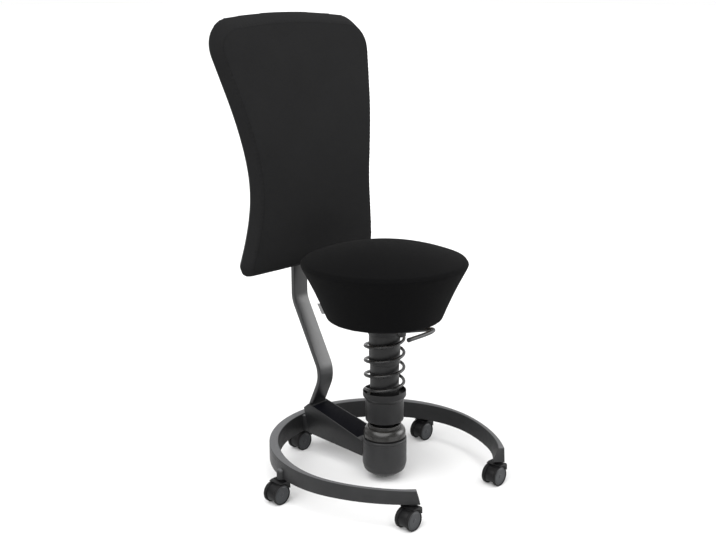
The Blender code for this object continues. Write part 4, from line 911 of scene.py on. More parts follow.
def coil_route():
    """Right-hand coil whose two ends bend upright into the cup and the collar."""
    bottom = CUP_FLOOR + GAP
    top = COLLAR_BOTTOM - GAP
    coil_from = bottom + COIL_WIRE + COIL_BEND
    coil_to = top - COIL_WIRE - COIL_BEND
    curls = (coil_to - coil_from) / COIL_PITCH
    steps = round(curls * COIL_POINTS)

    def on_coil(turns, height):
        angle = COIL_START + 2 * pi * turns
        return COIL_RADIUS * cos(angle), COIL_RADIUS * sin(angle), height

    bend_turns = COIL_BEND / (2 * pi * COIL_RADIUS)
    bends = np.linspace(0, 0.5 * pi, 8)[:-1]
    foot = [on_coil(-bend_turns, bottom)]
    foot += [on_coil(-bend_turns * cos(a), coil_from - COIL_BEND + COIL_BEND * sin(a)) for a in bends]
    coil = [on_coil(curls * k / steps, coil_from + (coil_to - coil_from) * k / steps) for k in range(steps + 1)]
    head = [on_coil(curls + bend_turns * cos(a), coil_to + COIL_BEND - COIL_BEND * sin(a)) for a in bends[::-1]]
    return foot + coil + head + [on_coil(curls + bend_turns, top)]


def make_spring():
    """The open coil spring as one rigid wire between cup and collar; on the stool it shortens as the seat
    sinks.
    """
    wire = grown(path_mesh(coil_route()), wires, wire_radius=COIL_WIRE / 2, sides=18, finish=looks["wire"])
    spring = piece("coil_spring", wire, None, "lift", ["main_spring"])
    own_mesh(spring)


# Upholstery

def soft_step(t):
    """A share that rises smoothly from 0 to 1."""
    t = min(max(t, 0.0), 1.0)
    return t * t * (3 - 2 * t)


def swollen(mesh, held):
    """A cover remeshed evenly and swollen by cloth pressure, each point held near where it was cut."""
    cover = temporary(mesh)
    even = cover.modifiers.new("even_mesh", "REMESH")
    even.mode = "VOXEL"
    even.voxel_size = CLOTH_VOXEL
    mesh = settled(cover)
    cut_to = np.array([v.co for v in mesh.vertices])
    cover = temporary(mesh)
    pins = cover.vertex_groups.new(name="held")
    pins.add([i for i, p in enumerate(cut_to) if held(p)], 1.0, "REPLACE")
    cloth = cover.modifiers.new("cloth", "CLOTH")
    cloth.settings.quality = CLOTH_QUALITY
    cloth.settings.mass = CLOTH_MASS
    cloth.settings.bending_stiffness = CLOTH_BENDING
    cloth.settings.use_pressure = True
    cloth.settings.uniform_pressure_force = CLOTH_PRESSURE
    cloth.settings.effector_weights.gravity = 0.0
    cloth.settings.vertex_group_mass = pins.name
    cloth.collision_settings.use_collision = False
    cloth.point_cache.frame_start = 1
    cloth.point_cache.frame_end = CLOTH_FRAMES
    for step in range(1, CLOTH_FRAMES + 1):
        scene.frame_set(step)
    swelled = settled(cover)
    scene.frame_set(1)
    points = np.array([v.co for v in swelled.vertices])
    move = points - cut_to
    far = np.linalg.norm(move, axis=1, keepdims=True)
    points = cut_to + move * np.minimum(1.0, CLOTH_CAP / np.maximum(far, 1e-9))
    swelled.vertices.foreach_set("co", points.ravel())
    swelled.update()
    return swelled


def refined(mesh):
    """A mesh subdivided once."""
    thing = temporary(mesh)
    finer = thing.modifiers.new("finer", "SUBSURF")
    finer.levels = 1
    finer.render_levels = 1
    return settled(thing)


def surface_of(mesh):
    """A search tree on a mesh's faces."""
    return BVHTree.FromPolygons([v.co for v in mesh.vertices], [list(p.vertices) for p in mesh.polygons])


def point_tree(points):
    """A search tree on points."""
    tree = KDTree(len(points))
    for i, point in enumerate(points):
        tree.insert(point, i)
    tree.balance()
    return tree


def drawn_in(mesh, seam, depth, width):
    """Pulls a cover in along a seam."""
    tree = point_tree(seam)
    moves = [v.normal * (-depth * exp(-(tree.find(v.co)[2] / width) ** 2)) for v in mesh.vertices]
    for vert, move in zip(mesh.vertices, moves):
        vert.co += move
    mesh.update()


def map_cloth(mesh, place):
    """The cover's own cloth map; place gives a corner's position on its panel, in metres."""
    layer = mesh.uv_layers.new(name="cloth")
    for face in mesh.polygons:
        for corner in face.loop_indices:
            spot = mesh.vertices[mesh.loops[corner].vertex_index].co
            layer.data[corner].uv = place(spot, face)


def seat_corners():
    """The rounded lower and upper corners of the seat's side."""
    base = arc((SEAT_BASE_RADIUS - SEAT_BASE_ROUNDING, SEAT_UNDERSIDE + SEAT_BASE_ROUNDING),
               SEAT_BASE_ROUNDING, -0.5 * pi, -0.08 * pi, 8)
    rim = arc((SEAT_RIM_RADIUS - SEAT_RIM_ROUNDING, SEAT_RIM_HEIGHT), SEAT_RIM_ROUNDING,
              -0.14 * pi, 0.36 * pi, 12)
    return base, rim


def seat_side(height):
    """Radius of the seat's drawn-in side at a height."""
    base, rim = seat_corners()
    t = (height - base[-1][1]) / (rim[0][1] - base[-1][1])
    return base[-1][0] + (rim[0][0] - base[-1][0]) * t - SEAT_DRAW_IN * sin(pi * t)


def seat_profile():
    """Turned outline of the seat cover before it swells."""
    base, rim = seat_corners()
    side = [(seat_side(z), z) for z in np.linspace(base[-1][1], rim[0][1], 14)[1:-1]]
    crown_from = rim[-1]
    crown = [(crown_from[0] * s, SEAT_CROWN_HEIGHT - (SEAT_CROWN_HEIGHT - crown_from[1]) * s**2)
             for s in np.linspace(0.94, 0.0, 16)]
    shrink = 1 - SEAT_INSET / SEAT_RIM_RADIUS
    tall = SEAT_CROWN_HEIGHT - SEAT_UNDERSIDE
    return [(0, SEAT_UNDERSIDE)] + [(r * shrink, z - SEAT_INSET * (z - SEAT_UNDERSIDE) / tall)
                                    for r, z in [*base, *side, *rim, *crown]]


def make_seat():
    """Swollen seat cover with its rim seam, and what carries it underneath."""
    recess = SEAT_UNDERSIDE + BOARD_THICKNESS + 2 * GAP

    def held(p):
        from_rim = SEAT_RIM_RADIUS - sqrt(p[0] ** 2 + p[1] ** 2)
        at_rim = from_rim < SEAM_HOLD and abs(p[2] - SEAT_RIM_HEIGHT) < RIM_HOLD
        return at_rim or p[2] < SEAT_UNDERSIDE + BASE_HOLD

    cover = refined(swollen(turned(seat_profile(), 128), held))
    for vert in cover.vertices:
        out = sqrt(vert.co.x**2 + vert.co.y**2)
        if vert.co.z < recess and out < BOARD_RADIUS + RECESS_RIM:
            vert.co.z = recess if out < BOARD_RADIUS + GAP else SEAT_UNDERSIDE
        vert.co.z = max(vert.co.z, SEAT_UNDERSIDE)
    cover.update()
    skin = surface_of(cover)
    seam = []
    row = []
    start = Vector((0, 0, SEAT_RIM_HEIGHT - SEAM_EYE_BELOW_RIM))
    for a in np.linspace(0, 2 * pi, 720, endpoint=False):
        for line, up in ((seam, SEAM_AIM_RISE), (row, STITCH_AIM_RISE)):
            aim = Vector((SEAM_AIM_RADIUS * cos(a), SEAM_AIM_RADIUS * sin(a), up))
            line.append(skin.ray_cast(start, aim.normalized())[0])
    drawn_in(cover, seam, SEAT_SEAM_DEPTH, SEAT_SEAM_WIDTH)

    def panel(spot, face):
        if abs(face.normal.z) > SEAT_TOP_FACING:
            return spot.x, spot.y
        turn = atan2(spot.y, spot.x)
        middle = atan2(face.center.y, face.center.x)
        turn += 2 * pi * round((middle - turn) / (2 * pi))
        return turn * SEAT_CLOTH_RADIUS, spot.z

    map_cloth(cover, panel)
    seat = piece("seat_cover", cover, "seat_cloth", "seat", ["seat_cushion"],
                 COVER_SMOOTH_BELOW)
    piece("seat_rim_stitches", stitched(row), None, "seat")

    under = SEAT_UNDERSIDE + GAP
    board_top = under + BOARD_THICKNESS
    lathed("board_turned", [(0, under, 0), (0, board_top, 0), (BOARD_RADIUS, board_top, 0.0012),
                            (BOARD_RADIUS, under, 0.0012)], "board", "seat", "seat_board")
    plate_from = SEAT_UNDERSIDE - PLATE_THICKNESS
    bead = plate_from + PLATE_BEAD
    lathed("plate_pressed", [
        (0, plate_from, 0), (0, SEAT_UNDERSIDE, 0), (PLATE_RADIUS, SEAT_UNDERSIDE, 0.0006),
        (PLATE_RADIUS, plate_from, 0.0022), (0.052, plate_from, 0.001), (0.050, bead, 0.001),
        (0.042, bead, 0.001), (0.040, plate_from, 0.001)], "steel", "seat", "seat_plate")
    foot = COLLAR_TOP + GAP
    top = plate_from - GAP
    lathed("bearing_turned", [
        (0, foot, 0), (0, top, 0), (BEARING_RADIUS, top, 0.0008), (BEARING_RADIUS, foot + 0.0078, 0.0004),
        (BEARING_RADIUS - 0.0015, foot + 0.007, 0), (BEARING_RADIUS, foot + 0.0062, 0.0004),
        (BEARING_RADIUS, foot, 0.0008)], "steel", "seat", "swivel_bearing")
    spots = [(PLATE_SCREW_CIRCLE * cos(a), PLATE_SCREW_CIRCLE * sin(a), plate_from)
             for a in np.linspace(0.25 * pi, 1.75 * pi, 4)]
    heads = screw_heads(spots, PLATE_SCREW_RADIUS, PLATE_SCREW_HEAD, (0, 0, -1))
    piece("plate_screws", heads, None, "seat")
    fold = [(STAPLE_CIRCLE * cos(a), STAPLE_CIRCLE * sin(a), SEAT_UNDERSIDE - 0.0001)
            for a in np.linspace(0, 2 * pi, 180, endpoint=False)]
    staples = grown(path_mesh(fold, True), stitches, pitch=STAPLE_PITCH, stitch_length=STAPLE_LENGTH,
                    thread_radius=STAPLE_RADIUS, finish=looks["steel"])
    piece("cover_staples", staples, None, "seat")
    make_tab()


def make_tab():
    """Bare folded tape that stands out of the seat's side."""
    bend = 0.5 * (TAB_THICKNESS - TAPE_THICKNESS)
    nose = TAB_LENGTH - bend - TAPE_THICKNESS / 2
    route = [Vector((0.0, bend)), Vector((nose, bend))]
    route += [Vector((nose + bend * cos(a), bend * sin(a))) for a in np.linspace(0.5 * pi, -0.5 * pi, 9)[1:-1]]
    route += [Vector((nose, -bend)), Vector((0.0, -bend))]
    fold = ribbon_outline(route, TAPE_THICKNESS)
    rings = []
    for z in np.linspace(TAB_HEIGHT - TAB_WIDTH / 2, TAB_HEIGHT + TAB_WIDTH / 2, 9):
        root = seat_side(z) + GAP
        rings.append([(root + x, y, z) for x, y in fold])
    tab = skinned(rings)
    tab.transform(Matrix.Rotation(TAB_DIRECTION, 4, "Z"))
    piece("tab_folded", tab, "tape", "seat", ["label_tab"])


def make_lever():
    """Bent wire lever, its rubber tip and the block that it turns in."""
    grip = LEVER_GRIP_Y - LEVER_AXIS_Y
    bend = LEVER_BEND_Y - LEVER_AXIS_Y
    straight = [(LEVER_ROOT_X + LEVER_ROOT_SETBACK, 0, 0), (0.5 * LEVER_ROOT_X, 0, 0), (0, 0, 0)]
    bent = smooth_through([(LEVER_KNEE_X, 0, 0), (0.5 * (LEVER_KNEE_X + LEVER_BEND_X), 0.45 * bend, 0),
                           (LEVER_BEND_X, bend, 0), (0.78 * LEVER_BEND_X, 0.93 * grip, 0),
                           (0.30 * LEVER_BEND_X, grip, 0), (0.5 * LEVER_END_X, grip, 0),
                           (LEVER_END_X, grip, 0)], 14)
    rod = grown(path_mesh([*straight, *bent]), wires, wire_radius=LEVER_ROD_RADIUS, sides=20,
                finish=looks["lever"])
    axis = Matrix.Translation((0, LEVER_AXIS_Y, LEVER_HEIGHT))
    rod.transform(axis)
    piece("lever_wire", rod, None, "lever", ["release_lever"])
    room = LEVER_ROD_RADIUS + RUNNING_GAP
    tip = turned(eased([(0, 0, 0), (0, LEVER_TIP_LENGTH, 0), (room, LEVER_TIP_LENGTH, 0.0026),
                        (room, 0, 0.0004)]), 40)
    tip.transform(axis @ Matrix.Translation((LEVER_END_X - GAP, grip, 0)) @ Matrix.Rotation(-pi / 2, 4, "Y"))
    piece("lever_rubber", tip, "rubber", "lever", ["lever_tip"])

    middle = LEVER_ROOT_X + BRACKET_LENGTH / 2 + BRACKET_SETBACK
    long = BRACKET_LENGTH / 2
    half = BRACKET_WIDTH / 2
    low = LEVER_HEIGHT - LEVER_ROD_RADIUS - BRACKET_BELOW_ROD
    top = SEAT_UNDERSIDE - PLATE_THICKNESS - GAP
    bore = bar_between((middle - BRACKET_DRILL, LEVER_AXIS_Y, LEVER_HEIGHT),
                       (middle + BRACKET_DRILL, LEVER_AXIS_Y, LEVER_HEIGHT), room)
    bracket = block((middle - long, LEVER_AXIS_Y - half, low), (middle + long, LEVER_AXIS_Y + half, top))
    bracket = carved(bracket, [("DIFFERENCE", bore)], 0.0012)
    piece("lever_block", bracket, "housing", "seat", ["lever_bracket"])


# Base ring and arm

def ring_stations():
    """Outer points and outward directions along the horseshoe, and their distances from its nearer end."""
    joint = -RING_TURN_BELOW_AXIS
    end = joint - RING_FRONT_SWEEP
    centre = Vector((0, RING_CENTRE_Y))
    front = centre + (RING_OUTER_RADIUS - RING_FRONT_RADIUS) * Vector((cos(joint), sin(joint)))
    stations = []
    for angle in np.linspace(end, joint, 29)[:-1]:
        outward = Vector((cos(angle), sin(angle)))
        stations.append((front + RING_FRONT_RADIUS * outward, outward, RING_FRONT_RADIUS * (angle - end)))
    front_run = RING_FRONT_RADIUS * RING_FRONT_SWEEP
    for angle in np.linspace(joint, pi / 2, 61):
        outward = Vector((cos(angle), sin(angle)))
        stations.append((centre + RING_OUTER_RADIUS * outward, outward,
                         front_run + RING_OUTER_RADIUS * (angle - joint)))
    return stations + [(Vector((-p.x, p.y)), Vector((-o.x, o.y)), along) for p, o, along in stations[-2::-1]]


def ring_widths(along):
    """Widths of the band's top and foot: narrower towards the front, wider at the ends for the castors."""
    share = soft_step((along - RING_NARROW_TO) / (RING_NARROW_FROM - RING_NARROW_TO))
    flare = max(1 - along / RING_END_RUN, 0) ** 2
    top = RING_FRONT_TOP_WIDTH + (RING_TOP_WIDTH - RING_FRONT_TOP_WIDTH) * share
    foot = RING_FRONT_FOOT_WIDTH + (RING_FOOT_WIDTH - RING_FRONT_FOOT_WIDTH) * share
    return top + RING_END_TOP_FLARE * flare, foot + RING_END_FOOT_FLARE * flare


def ring_top(y):
    """Height of the ring's top edge, which falls towards the front."""
    rear_y = RING_CENTRE_Y + RING_OUTER_RADIUS
    front_y = RING_CENTRE_Y - RING_OUTER_RADIUS
    return RING_TOP_FRONT + (RING_TOP_REAR - RING_TOP_FRONT) * (y - front_y) / (rear_y - front_y)


def castor_stems():
    """Names and plan positions of the castor stems, and whether a socket stands outside the ring."""
    stems = []
    stations = ring_stations()
    for name, index, side in (("front_left", 0, 1), ("front_right", -1, -1)):
        point, outward, _ = stations[index]
        back = Vector((-outward.y, outward.x)) * side
        stems.append((name, point + back * CASTOR_END_SETBACK - outward * CASTOR_END_INSET, False))
    centre = Vector((0, RING_CENTRE_Y))
    for name, angle in (("side_left", CASTOR_SIDE_ANGLE), ("side_right", -CASTOR_SIDE_ANGLE), ("rear", pi)):
        stems.append((name, centre + RING_OUTER_RADIUS * Vector((sin(angle), -cos(angle))), True))
    return stems


def make_ring():
    """Horseshoe band with raked ends, its castor sockets and the lug for the arm."""
    rings = []
    for point, outward, along in ring_stations():
        rake = RING_END_RAKE * max(0.0, 1 - along / RING_RAKE_RUN)
        inward = Vector((-outward.y, outward.x)) * (1 if point.x > 0 else -1)
        top = ring_top(point.y)
        head, foot = ring_widths(along)
        section = []
        for across, height in ((-head, top), (0, top), (0, RING_BOTTOM), (-foot, RING_BOTTOM)):
            back = rake * (height - RING_BOTTOM) / (top - RING_BOTTOM)
            spot = point + outward * across + inward * back
            section.append((spot.x, spot.y, height))
        rings.append(section)
    band = carved(skinned(rings), edge=0.0016, sharper_than=45)
    piece("ring_band", band, "ring", "base", ["base_ring"])

    rear_y = RING_CENTRE_Y + RING_OUTER_RADIUS - RING_TOP_WIDTH / 2
    lug = prism([(LUG_FOOT_Y, LUG_FOOT), (rear_y, LUG_FOOT), (rear_y, LUG_TOP), (LUG_TOP_Y, LUG_TOP)],
                lambda y: LUG_HALF_WIDTH)
    piece("ring_lug", carved(lug, edge=0.0012), "ring", "base")
    bore = STEM_RADIUS + GAP
    lid = SOCKET_FOOT + STEM_DEPTH + GAP
    for name, stem, outside in castor_stems():
        if outside:
            top = ring_top(stem.y) - SOCKET_BELOW_TOP
            socket = turned(eased([(0, lid, 0), (0, top, 0), (SOCKET_RADIUS, top, SOCKET_DOME),
                                   (SOCKET_RADIUS, SOCKET_FOOT, 0.0008), (bore, SOCKET_FOOT, 0.0004),
                                   (bore, lid, 0)]), 64)
        else:
            top = RING_BOTTOM + END_SOCKET_HEIGHT
            socket = turned(eased([(bore, SOCKET_FOOT, 0.0004), (bore, top, 0), (END_SOCKET_RADIUS, top, 0),
                                   (END_SOCKET_RADIUS, SOCKET_FOOT, 0.0005)]), 48)
        socket.transform(Matrix.Translation((stem.x, stem.y, 0)))
        piece(f"{name}_socket", socket, "ring", "base")


def arm_half_width(y):
    """The arm widens from the ring towards the foot."""
    share = (y - ARM_FRONT_Y) / (LUG_TOP_Y - ARM_FRONT_Y)
    return ARM_FRONT_HALF_WIDTH + (ARM_REAR_HALF_WIDTH - ARM_FRONT_HALF_WIDTH) * share


def arm_top(y):
    """Height of the arm's sloping top."""
    return ARM_FRONT_TOP + (ARM_PEAK - ARM_FRONT_TOP) * (y - ARM_FRONT_Y) / (ARM_PEAK_Y - ARM_FRONT_Y)


def bar_route():
    """Middle line of the backrest bar, seen from the side."""
    corners = [(BAR_FOOT_Y, BAR_FOOT), (BAR_KNEE_Y, BAR_KNEE), (BAR_HIP_Y, BAR_HIP), (BAR_HIP_Y, BAR_TOP)]
    return rounded_route(corners, BAR_BEND_RADIUS, 28)


def make_arm():
    """Channel-shaped arm between ring and foot, its black insert and its screws."""
    lean = (LUG_TOP_Y - LUG_FOOT_Y) / (LUG_TOP - LUG_FOOT)
    clear = GAP * sqrt(1 + lean**2)

    def rear_y(height):
        return LUG_FOOT_Y - clear + lean * (height - LUG_FOOT)

    outline = [(ARM_FRONT_Y, ARM_FRONT_BOTTOM), (rear_y(LUG_FOOT), LUG_FOOT), (rear_y(LUG_TOP), LUG_TOP),
               (ARM_HEEL_Y, ARM_HEEL), (ARM_PEAK_Y, ARM_PEAK), (ARM_FRONT_Y, ARM_FRONT_TOP)]
    foot_room = bar_between((0, 0, 0), (0, 0, ARM_FOOT_DRILL), FOOT_RADIUS + GAP, 128)
    depth = COVER_THICKNESS + GAP
    recess = prism([(y, arm_top(y) + lift) for y, lift in ((COVER_FRONT_Y, -depth), (COVER_REAR_Y, -depth),
                                                           (COVER_REAR_Y, depth), (COVER_FRONT_Y, depth))],
                   lambda y: arm_half_width(y) - ARM_WALL)
    route = bar_route()
    route[0] = route[0] + (route[0] - route[1]).normalized() * GAP
    pocket = prism(ribbon_outline(route[:3], BAR_THICKNESS + 2 * GAP), lambda y: BAR_WIDTH / 2 + GAP)
    cuts = [("DIFFERENCE", tool) for tool in (foot_room, recess, pocket)]
    arm = carved(prism(outline, arm_half_width), cuts, 0.0014)
    piece("arm_channel", arm, "arm", "base", ["support_arm"])

    front = COVER_FRONT_Y + GAP
    rear = COVER_REAR_Y - GAP
    sheet = prism([(front, arm_top(front) - COVER_THICKNESS), (rear, arm_top(rear) - COVER_THICKNESS),
                   (rear, arm_top(rear)), (front, arm_top(front))],
                  lambda y: arm_half_width(y) - ARM_WALL - GAP)
    piece("arm_insert", carved(sheet, edge=0.0011), "insert", "base", ["arm_cover"])

    seat_y = RING_CENTRE_Y + sqrt(RING_OUTER_RADIUS**2 - (ARM_BOLT_X - BOLT_HEAD_RADIUS) ** 2) + GAP
    spots = [(x, seat_y, ARM_BOLT_HEIGHT) for x in (-ARM_BOLT_X, ARM_BOLT_X)]
    heads = screw_heads(spots, BOLT_HEAD_RADIUS, BOLT_HEAD, (0, 1, 0))
    piece("arm_screws", heads, None, "base", ["arm_bolt_left", "arm_bolt_right"])


# Castors

def tyre_mesh():
    """Soft tread of a castor wheel, turned about Z with its outer face up."""
    inner = DISC_RADIUS + RUNNING_GAP
    return turned(eased([
        (inner, 0.0008, 0), (inner, WHEEL_WIDTH - 0.0010, 0), (inner + 0.0005, WHEEL_WIDTH, 0.0004),
        (WHEEL_RADIUS - 0.0010, WHEEL_WIDTH, 0.0006), (WHEEL_RADIUS, WHEEL_WIDTH - 0.0012, 0.0010),
        (WHEEL_RADIUS, 0.0012, 0.0008), (WHEEL_RADIUS - 0.0011, 0, 0.0005), (inner + 0.0005, 0, 0.0004)]), 80)


def disc_mesh():
    """Dished disc inside the tread, with a small hub cap and a shallow step."""
    face = WHEEL_WIDTH - 0.0008
    return turned(eased([(0, 0.0006, 0), (0, face + 0.0003, 0), (HUB_CAP_RADIUS, face + 0.0003, 0.0006),
                         (HUB_FOOT_RADIUS, face - 0.0005, 0.0003), (DISC_STEP_FROM, face, 0.0006),
                         (DISC_STEP_TO, face - 0.0008, 0.0004), (DISC_RADIUS, face - 0.0008, 0),
                         (DISC_RADIUS, 0.0006, 0.0005)]), 80)


def slab(outline, half_width):
    """A (x, z) outline given width along Y, evenly about its middle."""
    return skinned([[(x, y, z) for x, z in outline] for y in (-half_width, half_width)])


def hood_crown(top, inset, back_radius):
    """The hood's outline about the axle, from its upright front over the flat top and down the back."""
    front = HOOD_FRONT - inset
    top = top - inset
    corners = [(0, 0, 0), (front, HOOD_FRONT_LOW + inset, 0), (front, top, HOOD_ROUNDING),
               (HOOD_TOP_BACK, top, HOOD_BACK_ROUNDING),
               (back_radius * cos(HOOD_BACK), back_radius * sin(HOOD_BACK), 0)]
    return eased(corners, 8)[1:]


def hood_mesh():
    """Fender over both wheels and the web between them that holds stem and axle; the axle is the origin."""
    top = SOCKET_FOOT - 2 * GAP - STEM_FLANGE - WHEEL_RADIUS
    inner = WHEEL_RADIUS + HOOD_TYRE_GAP
    fender = hood_crown(top, 0, inner + HOOD_WALL)
    fender += arc((0, 0), inner, HOOD_BACK, asin(HOOD_FRONT_LOW / inner), 36)
    round_web = WHEEL_RADIUS - HOOD_WEB_BELOW_TREAD
    low = asin((round_web - HOOD_WEB_FOOT) / round_web)
    web = hood_crown(top, HOOD_WEB_INSET, round_web)[:-1]
    web += arc((0, 0), round_web, HOOD_BACK, pi + low, 36) + arc((0, 0), round_web, -low, 0, 16)
    axle = bar_between((0, -WHEEL_SPACING, 0), (0, WHEEL_SPACING, 0), AXLE_ROOM, 32)
    bore = bar_between((CASTOR_TRAIL, 0, STEM_FOOT - GAP - WHEEL_RADIUS), (CASTOR_TRAIL, 0, 2 * top),
                       STEM_RADIUS + RUNNING_GAP, 40)
    return carved(slab(fender, WHEEL_SPACING / 2 + WHEEL_WIDTH / 2),
                  [("UNION", slab(web, WHEEL_SPACING / 2 - WHEEL_WIDTH / 2 - GAP)), ("DIFFERENCE", axle),
                   ("DIFFERENCE", bore)], 0.0007)


def make_castors():
    """Five twin-wheel castors that trail to the sitter's right."""
    flange_top = SOCKET_FOOT - GAP
    flange_foot = flange_top - STEM_FLANGE
    stem_top = SOCKET_FOOT + STEM_DEPTH
    shank = turned(eased([
        (0, STEM_FOOT, 0), (0, stem_top, 0), (STEM_RADIUS, stem_top, 0.001), (STEM_RADIUS, flange_top, 0),
        (STEM_FLANGE_RADIUS, flange_top, 0.0005), (STEM_FLANGE_RADIUS, flange_foot, 0.0005),
        (STEM_RADIUS, flange_foot, 0), (STEM_RADIUS, STEM_FOOT, 0)]), 48)
    hood = hood_mesh()
    tyre = tyre_mesh()
    disc = disc_mesh()
    inner_face = WHEEL_SPACING / 2 - WHEEL_WIDTH / 2
    for name, stem, _ in castor_stems():
        at_stem = Matrix.Translation((stem.x, stem.y, 0))
        at_axle = Matrix.Translation((stem.x - CASTOR_TRAIL, stem.y, WHEEL_RADIUS))
        piece(f"{name}_shank", placed(shank, at_stem), "shank", "base", [f"{name}_castor_stem"])
        piece(f"{name}_hood", placed(hood, at_axle), "hood", f"{name}_castor", [f"{name}_castor_hood"])
        for side, facing in (("near", -1), ("far", 1)):
            body = f"{name}_wheel_{side}"
            face = Matrix.Translation((0, facing * inner_face, 0))
            turn = at_axle @ face @ Matrix.Rotation(-facing * pi / 2, 4, "X")
            piece(f"{name}_tyre_{side}", placed(tyre, turn), "tyre", body,
                  [f"{name}_castor_wheel_{side}"])
            piece(f"{name}_disc_{side}", placed(disc, turn), "disc", body)


# Backrest

def back_half_width(z):
    """Half the pad's front width at a height: narrow at the waist, flaring evenly above and below it."""
    away = BACK_FLARE * (z - BACK_WAIST_HEIGHT)
    return BACK_WAIST_HALF_WIDTH + sqrt(BACK_WAIST_SOFTNESS**2 + away**2) - BACK_WAIST_SOFTNESS


def back_front_y(z):
    """Where the pad's front edge lies at a height: on one large arc, and straight on above it."""
    up = min(z, BACK_STRAIGHT_FROM) - BACK_NEAREST_HEIGHT
    level = sqrt(BACK_CURVE_RADIUS**2 - up**2)
    return BACK_NEAREST_Y + BACK_CURVE_RADIUS - level + max(0.0, z - BACK_STRAIGHT_FROM) * up / level


def back_outline(out):
    """The pad's (x, z) outline, moved outwards by out, from bottom middle round the sitter's left."""
    low = BACK_BOTTOM - out
    high = BACK_TOP + out
    low_corner = BACK_BOTTOM_CORNER + out
    high_corner = BACK_TOP_CORNER + out
    lean = atan(BACK_FLARE)
    side_from = low + low_corner * (1 + sin(lean))
    side_to = high - high_corner * (1 + sin(lean))
    low_centre = (back_half_width(side_from) + out - low_corner * cos(lean), low + low_corner)
    high_centre = (back_half_width(side_to) + out - high_corner * cos(lean), high - high_corner)
    rise = atan(2 * BACK_TOP_CROWN / high_centre[0])
    half = [(low_centre[0] * t, low) for t in np.linspace(0, 1, 19)[:-1]]
    half += arc(low_centre, low_corner, -0.5 * pi, lean, 12)
    half += [(back_half_width(z) + out, z) for z in np.linspace(side_from, side_to, 49)[1:-1]]
    half += arc(high_centre, high_corner, -lean, 0.5 * pi - rise, 20)
    crown_half, shoulder = half[-1]
    crown = 0.5 * crown_half * tan(rise)
    half += [(crown_half * t, shoulder + crown * (1 - t * t)) for t in np.linspace(1, 0, 19)[1:]]
    return half + [(-x, z) for x, z in half[-2:0:-1]]


def back_ring(out, depth, share=1.0, crown=0.0, drop=0.0):
    """One ring of the pad: its outline moved out, shrunk towards the middle and set back from the front arc."""
    ring = []
    for x, z in back_outline(out):
        lowered = z - drop * soft_step((z - BACK_TOP + BACK_TOP_CORNER) / BACK_TOP_CORNER)
        height = BACK_MIDDLE + (lowered - BACK_MIDDLE) * share
        ring.append((x * share, back_front_y(height) + depth - crown * (1 - share**2), height))
    return ring


def pad_rings():
    """Rings of the backrest cover before it swells: crowned front, slanted border, round rim and flat back."""
    inner = [back_ring(-PAD_INSET, PAD_INSET, s, PAD_CROWN, PAD_TOP_BAND) for s in np.linspace(0.02, 0.96, 22)]
    rim = [back_ring(out - PAD_INSET, depth + PAD_INSET * (depth < PAD_INSET_DEPTH),
                     drop=PAD_TOP_BAND * max(0.0, 1 - depth / PAD_BAND_DEPTH)) for out, depth in PAD_BORDER]
    back = [back_ring(0, PAD_THICKNESS, s) for s in np.linspace(0.97, 0.02, 11)]
    return inner + rim + back


def make_pad():
    """Tall waisted backrest cover with a soft fold between its front panel and its border."""
    fold = [Vector(p) for p in back_ring(0.0, PAD_FOLD_DEPTH, drop=PAD_TOP_BAND)]
    folds = point_tree(fold)

    def held(p):
        return folds.find(p)[2] < SEAM_HOLD or p[1] > back_front_y(p[2]) + PAD_THICKNESS - BACK_HOLD

    cover = refined(swollen(skinned(pad_rings()), held))
    for vert in cover.vertices:
        vert.co.y = min(vert.co.y, back_front_y(vert.co.z) + PAD_THICKNESS)
    cover.update()
    skin = surface_of(cover)
    fold = [skin.find_nearest(p)[0] for p in fold]
    row = []
    for p in back_ring(-PAD_STITCH_INSET, 0.0, drop=PAD_TOP_BAND):
        spot, normal, _, _ = skin.find_nearest(Vector(p))
        row.append(spot + normal * 0.0001)
    drawn_in(cover, fold, PAD_SEAM_DEPTH, PAD_SEAM_WIDTH)
    edge = [Vector(p) for p in back_ring(*PAD_GIRTH)]
    run = [0.0]
    for before, after in zip(edge, edge[1:]):
        run.append(run[-1] + (after - before).length)
    tree = point_tree(edge)

    def panel(spot, face):
        if abs(face.normal.y) > PAD_FRONT_FACING:
            return spot.x, spot.z
        along = run[tree.find(spot)[1]]
        middle = run[tree.find(face.center)[1]]
        if abs(along - middle) > 0.5 * run[-1]:
            along += run[-1] if middle > along else -run[-1]
        return along, spot.y

    map_cloth(cover, panel)
    pad = piece("backrest_cover", cover, "back_cloth", "base", ["backrest_cushion"],
                COVER_SMOOTH_BELOW)
    piece("backrest_stitches", stitched(row), None, "base")


def shell_mesh(back):
    """The curved shell behind the pad, with a rounded edge."""
    edge = SHELL_TO - SHELL_FROM
    lip = SHELL_FROM + SHELL_LIP
    rings = [back_ring(0, SHELL_FROM, s) for s in np.linspace(0.02, 0.97, 16)]
    rings += [back_ring(SHELL_OUT - SHELL_LIP, SHELL_FROM), back_ring(SHELL_OUT, lip)]
    rings += [back_ring(SHELL_OUT - edge * 0.6 * (1 - cos(a)), lip + (back - SHELL_FROM - SHELL_LIP) * sin(a))
              for a in np.linspace(0.1, 0.5 * pi, 8)]
    rings += [back_ring(0, back, s) for s in np.linspace(0.97, 0.02, 16)]
    return skinned(rings)


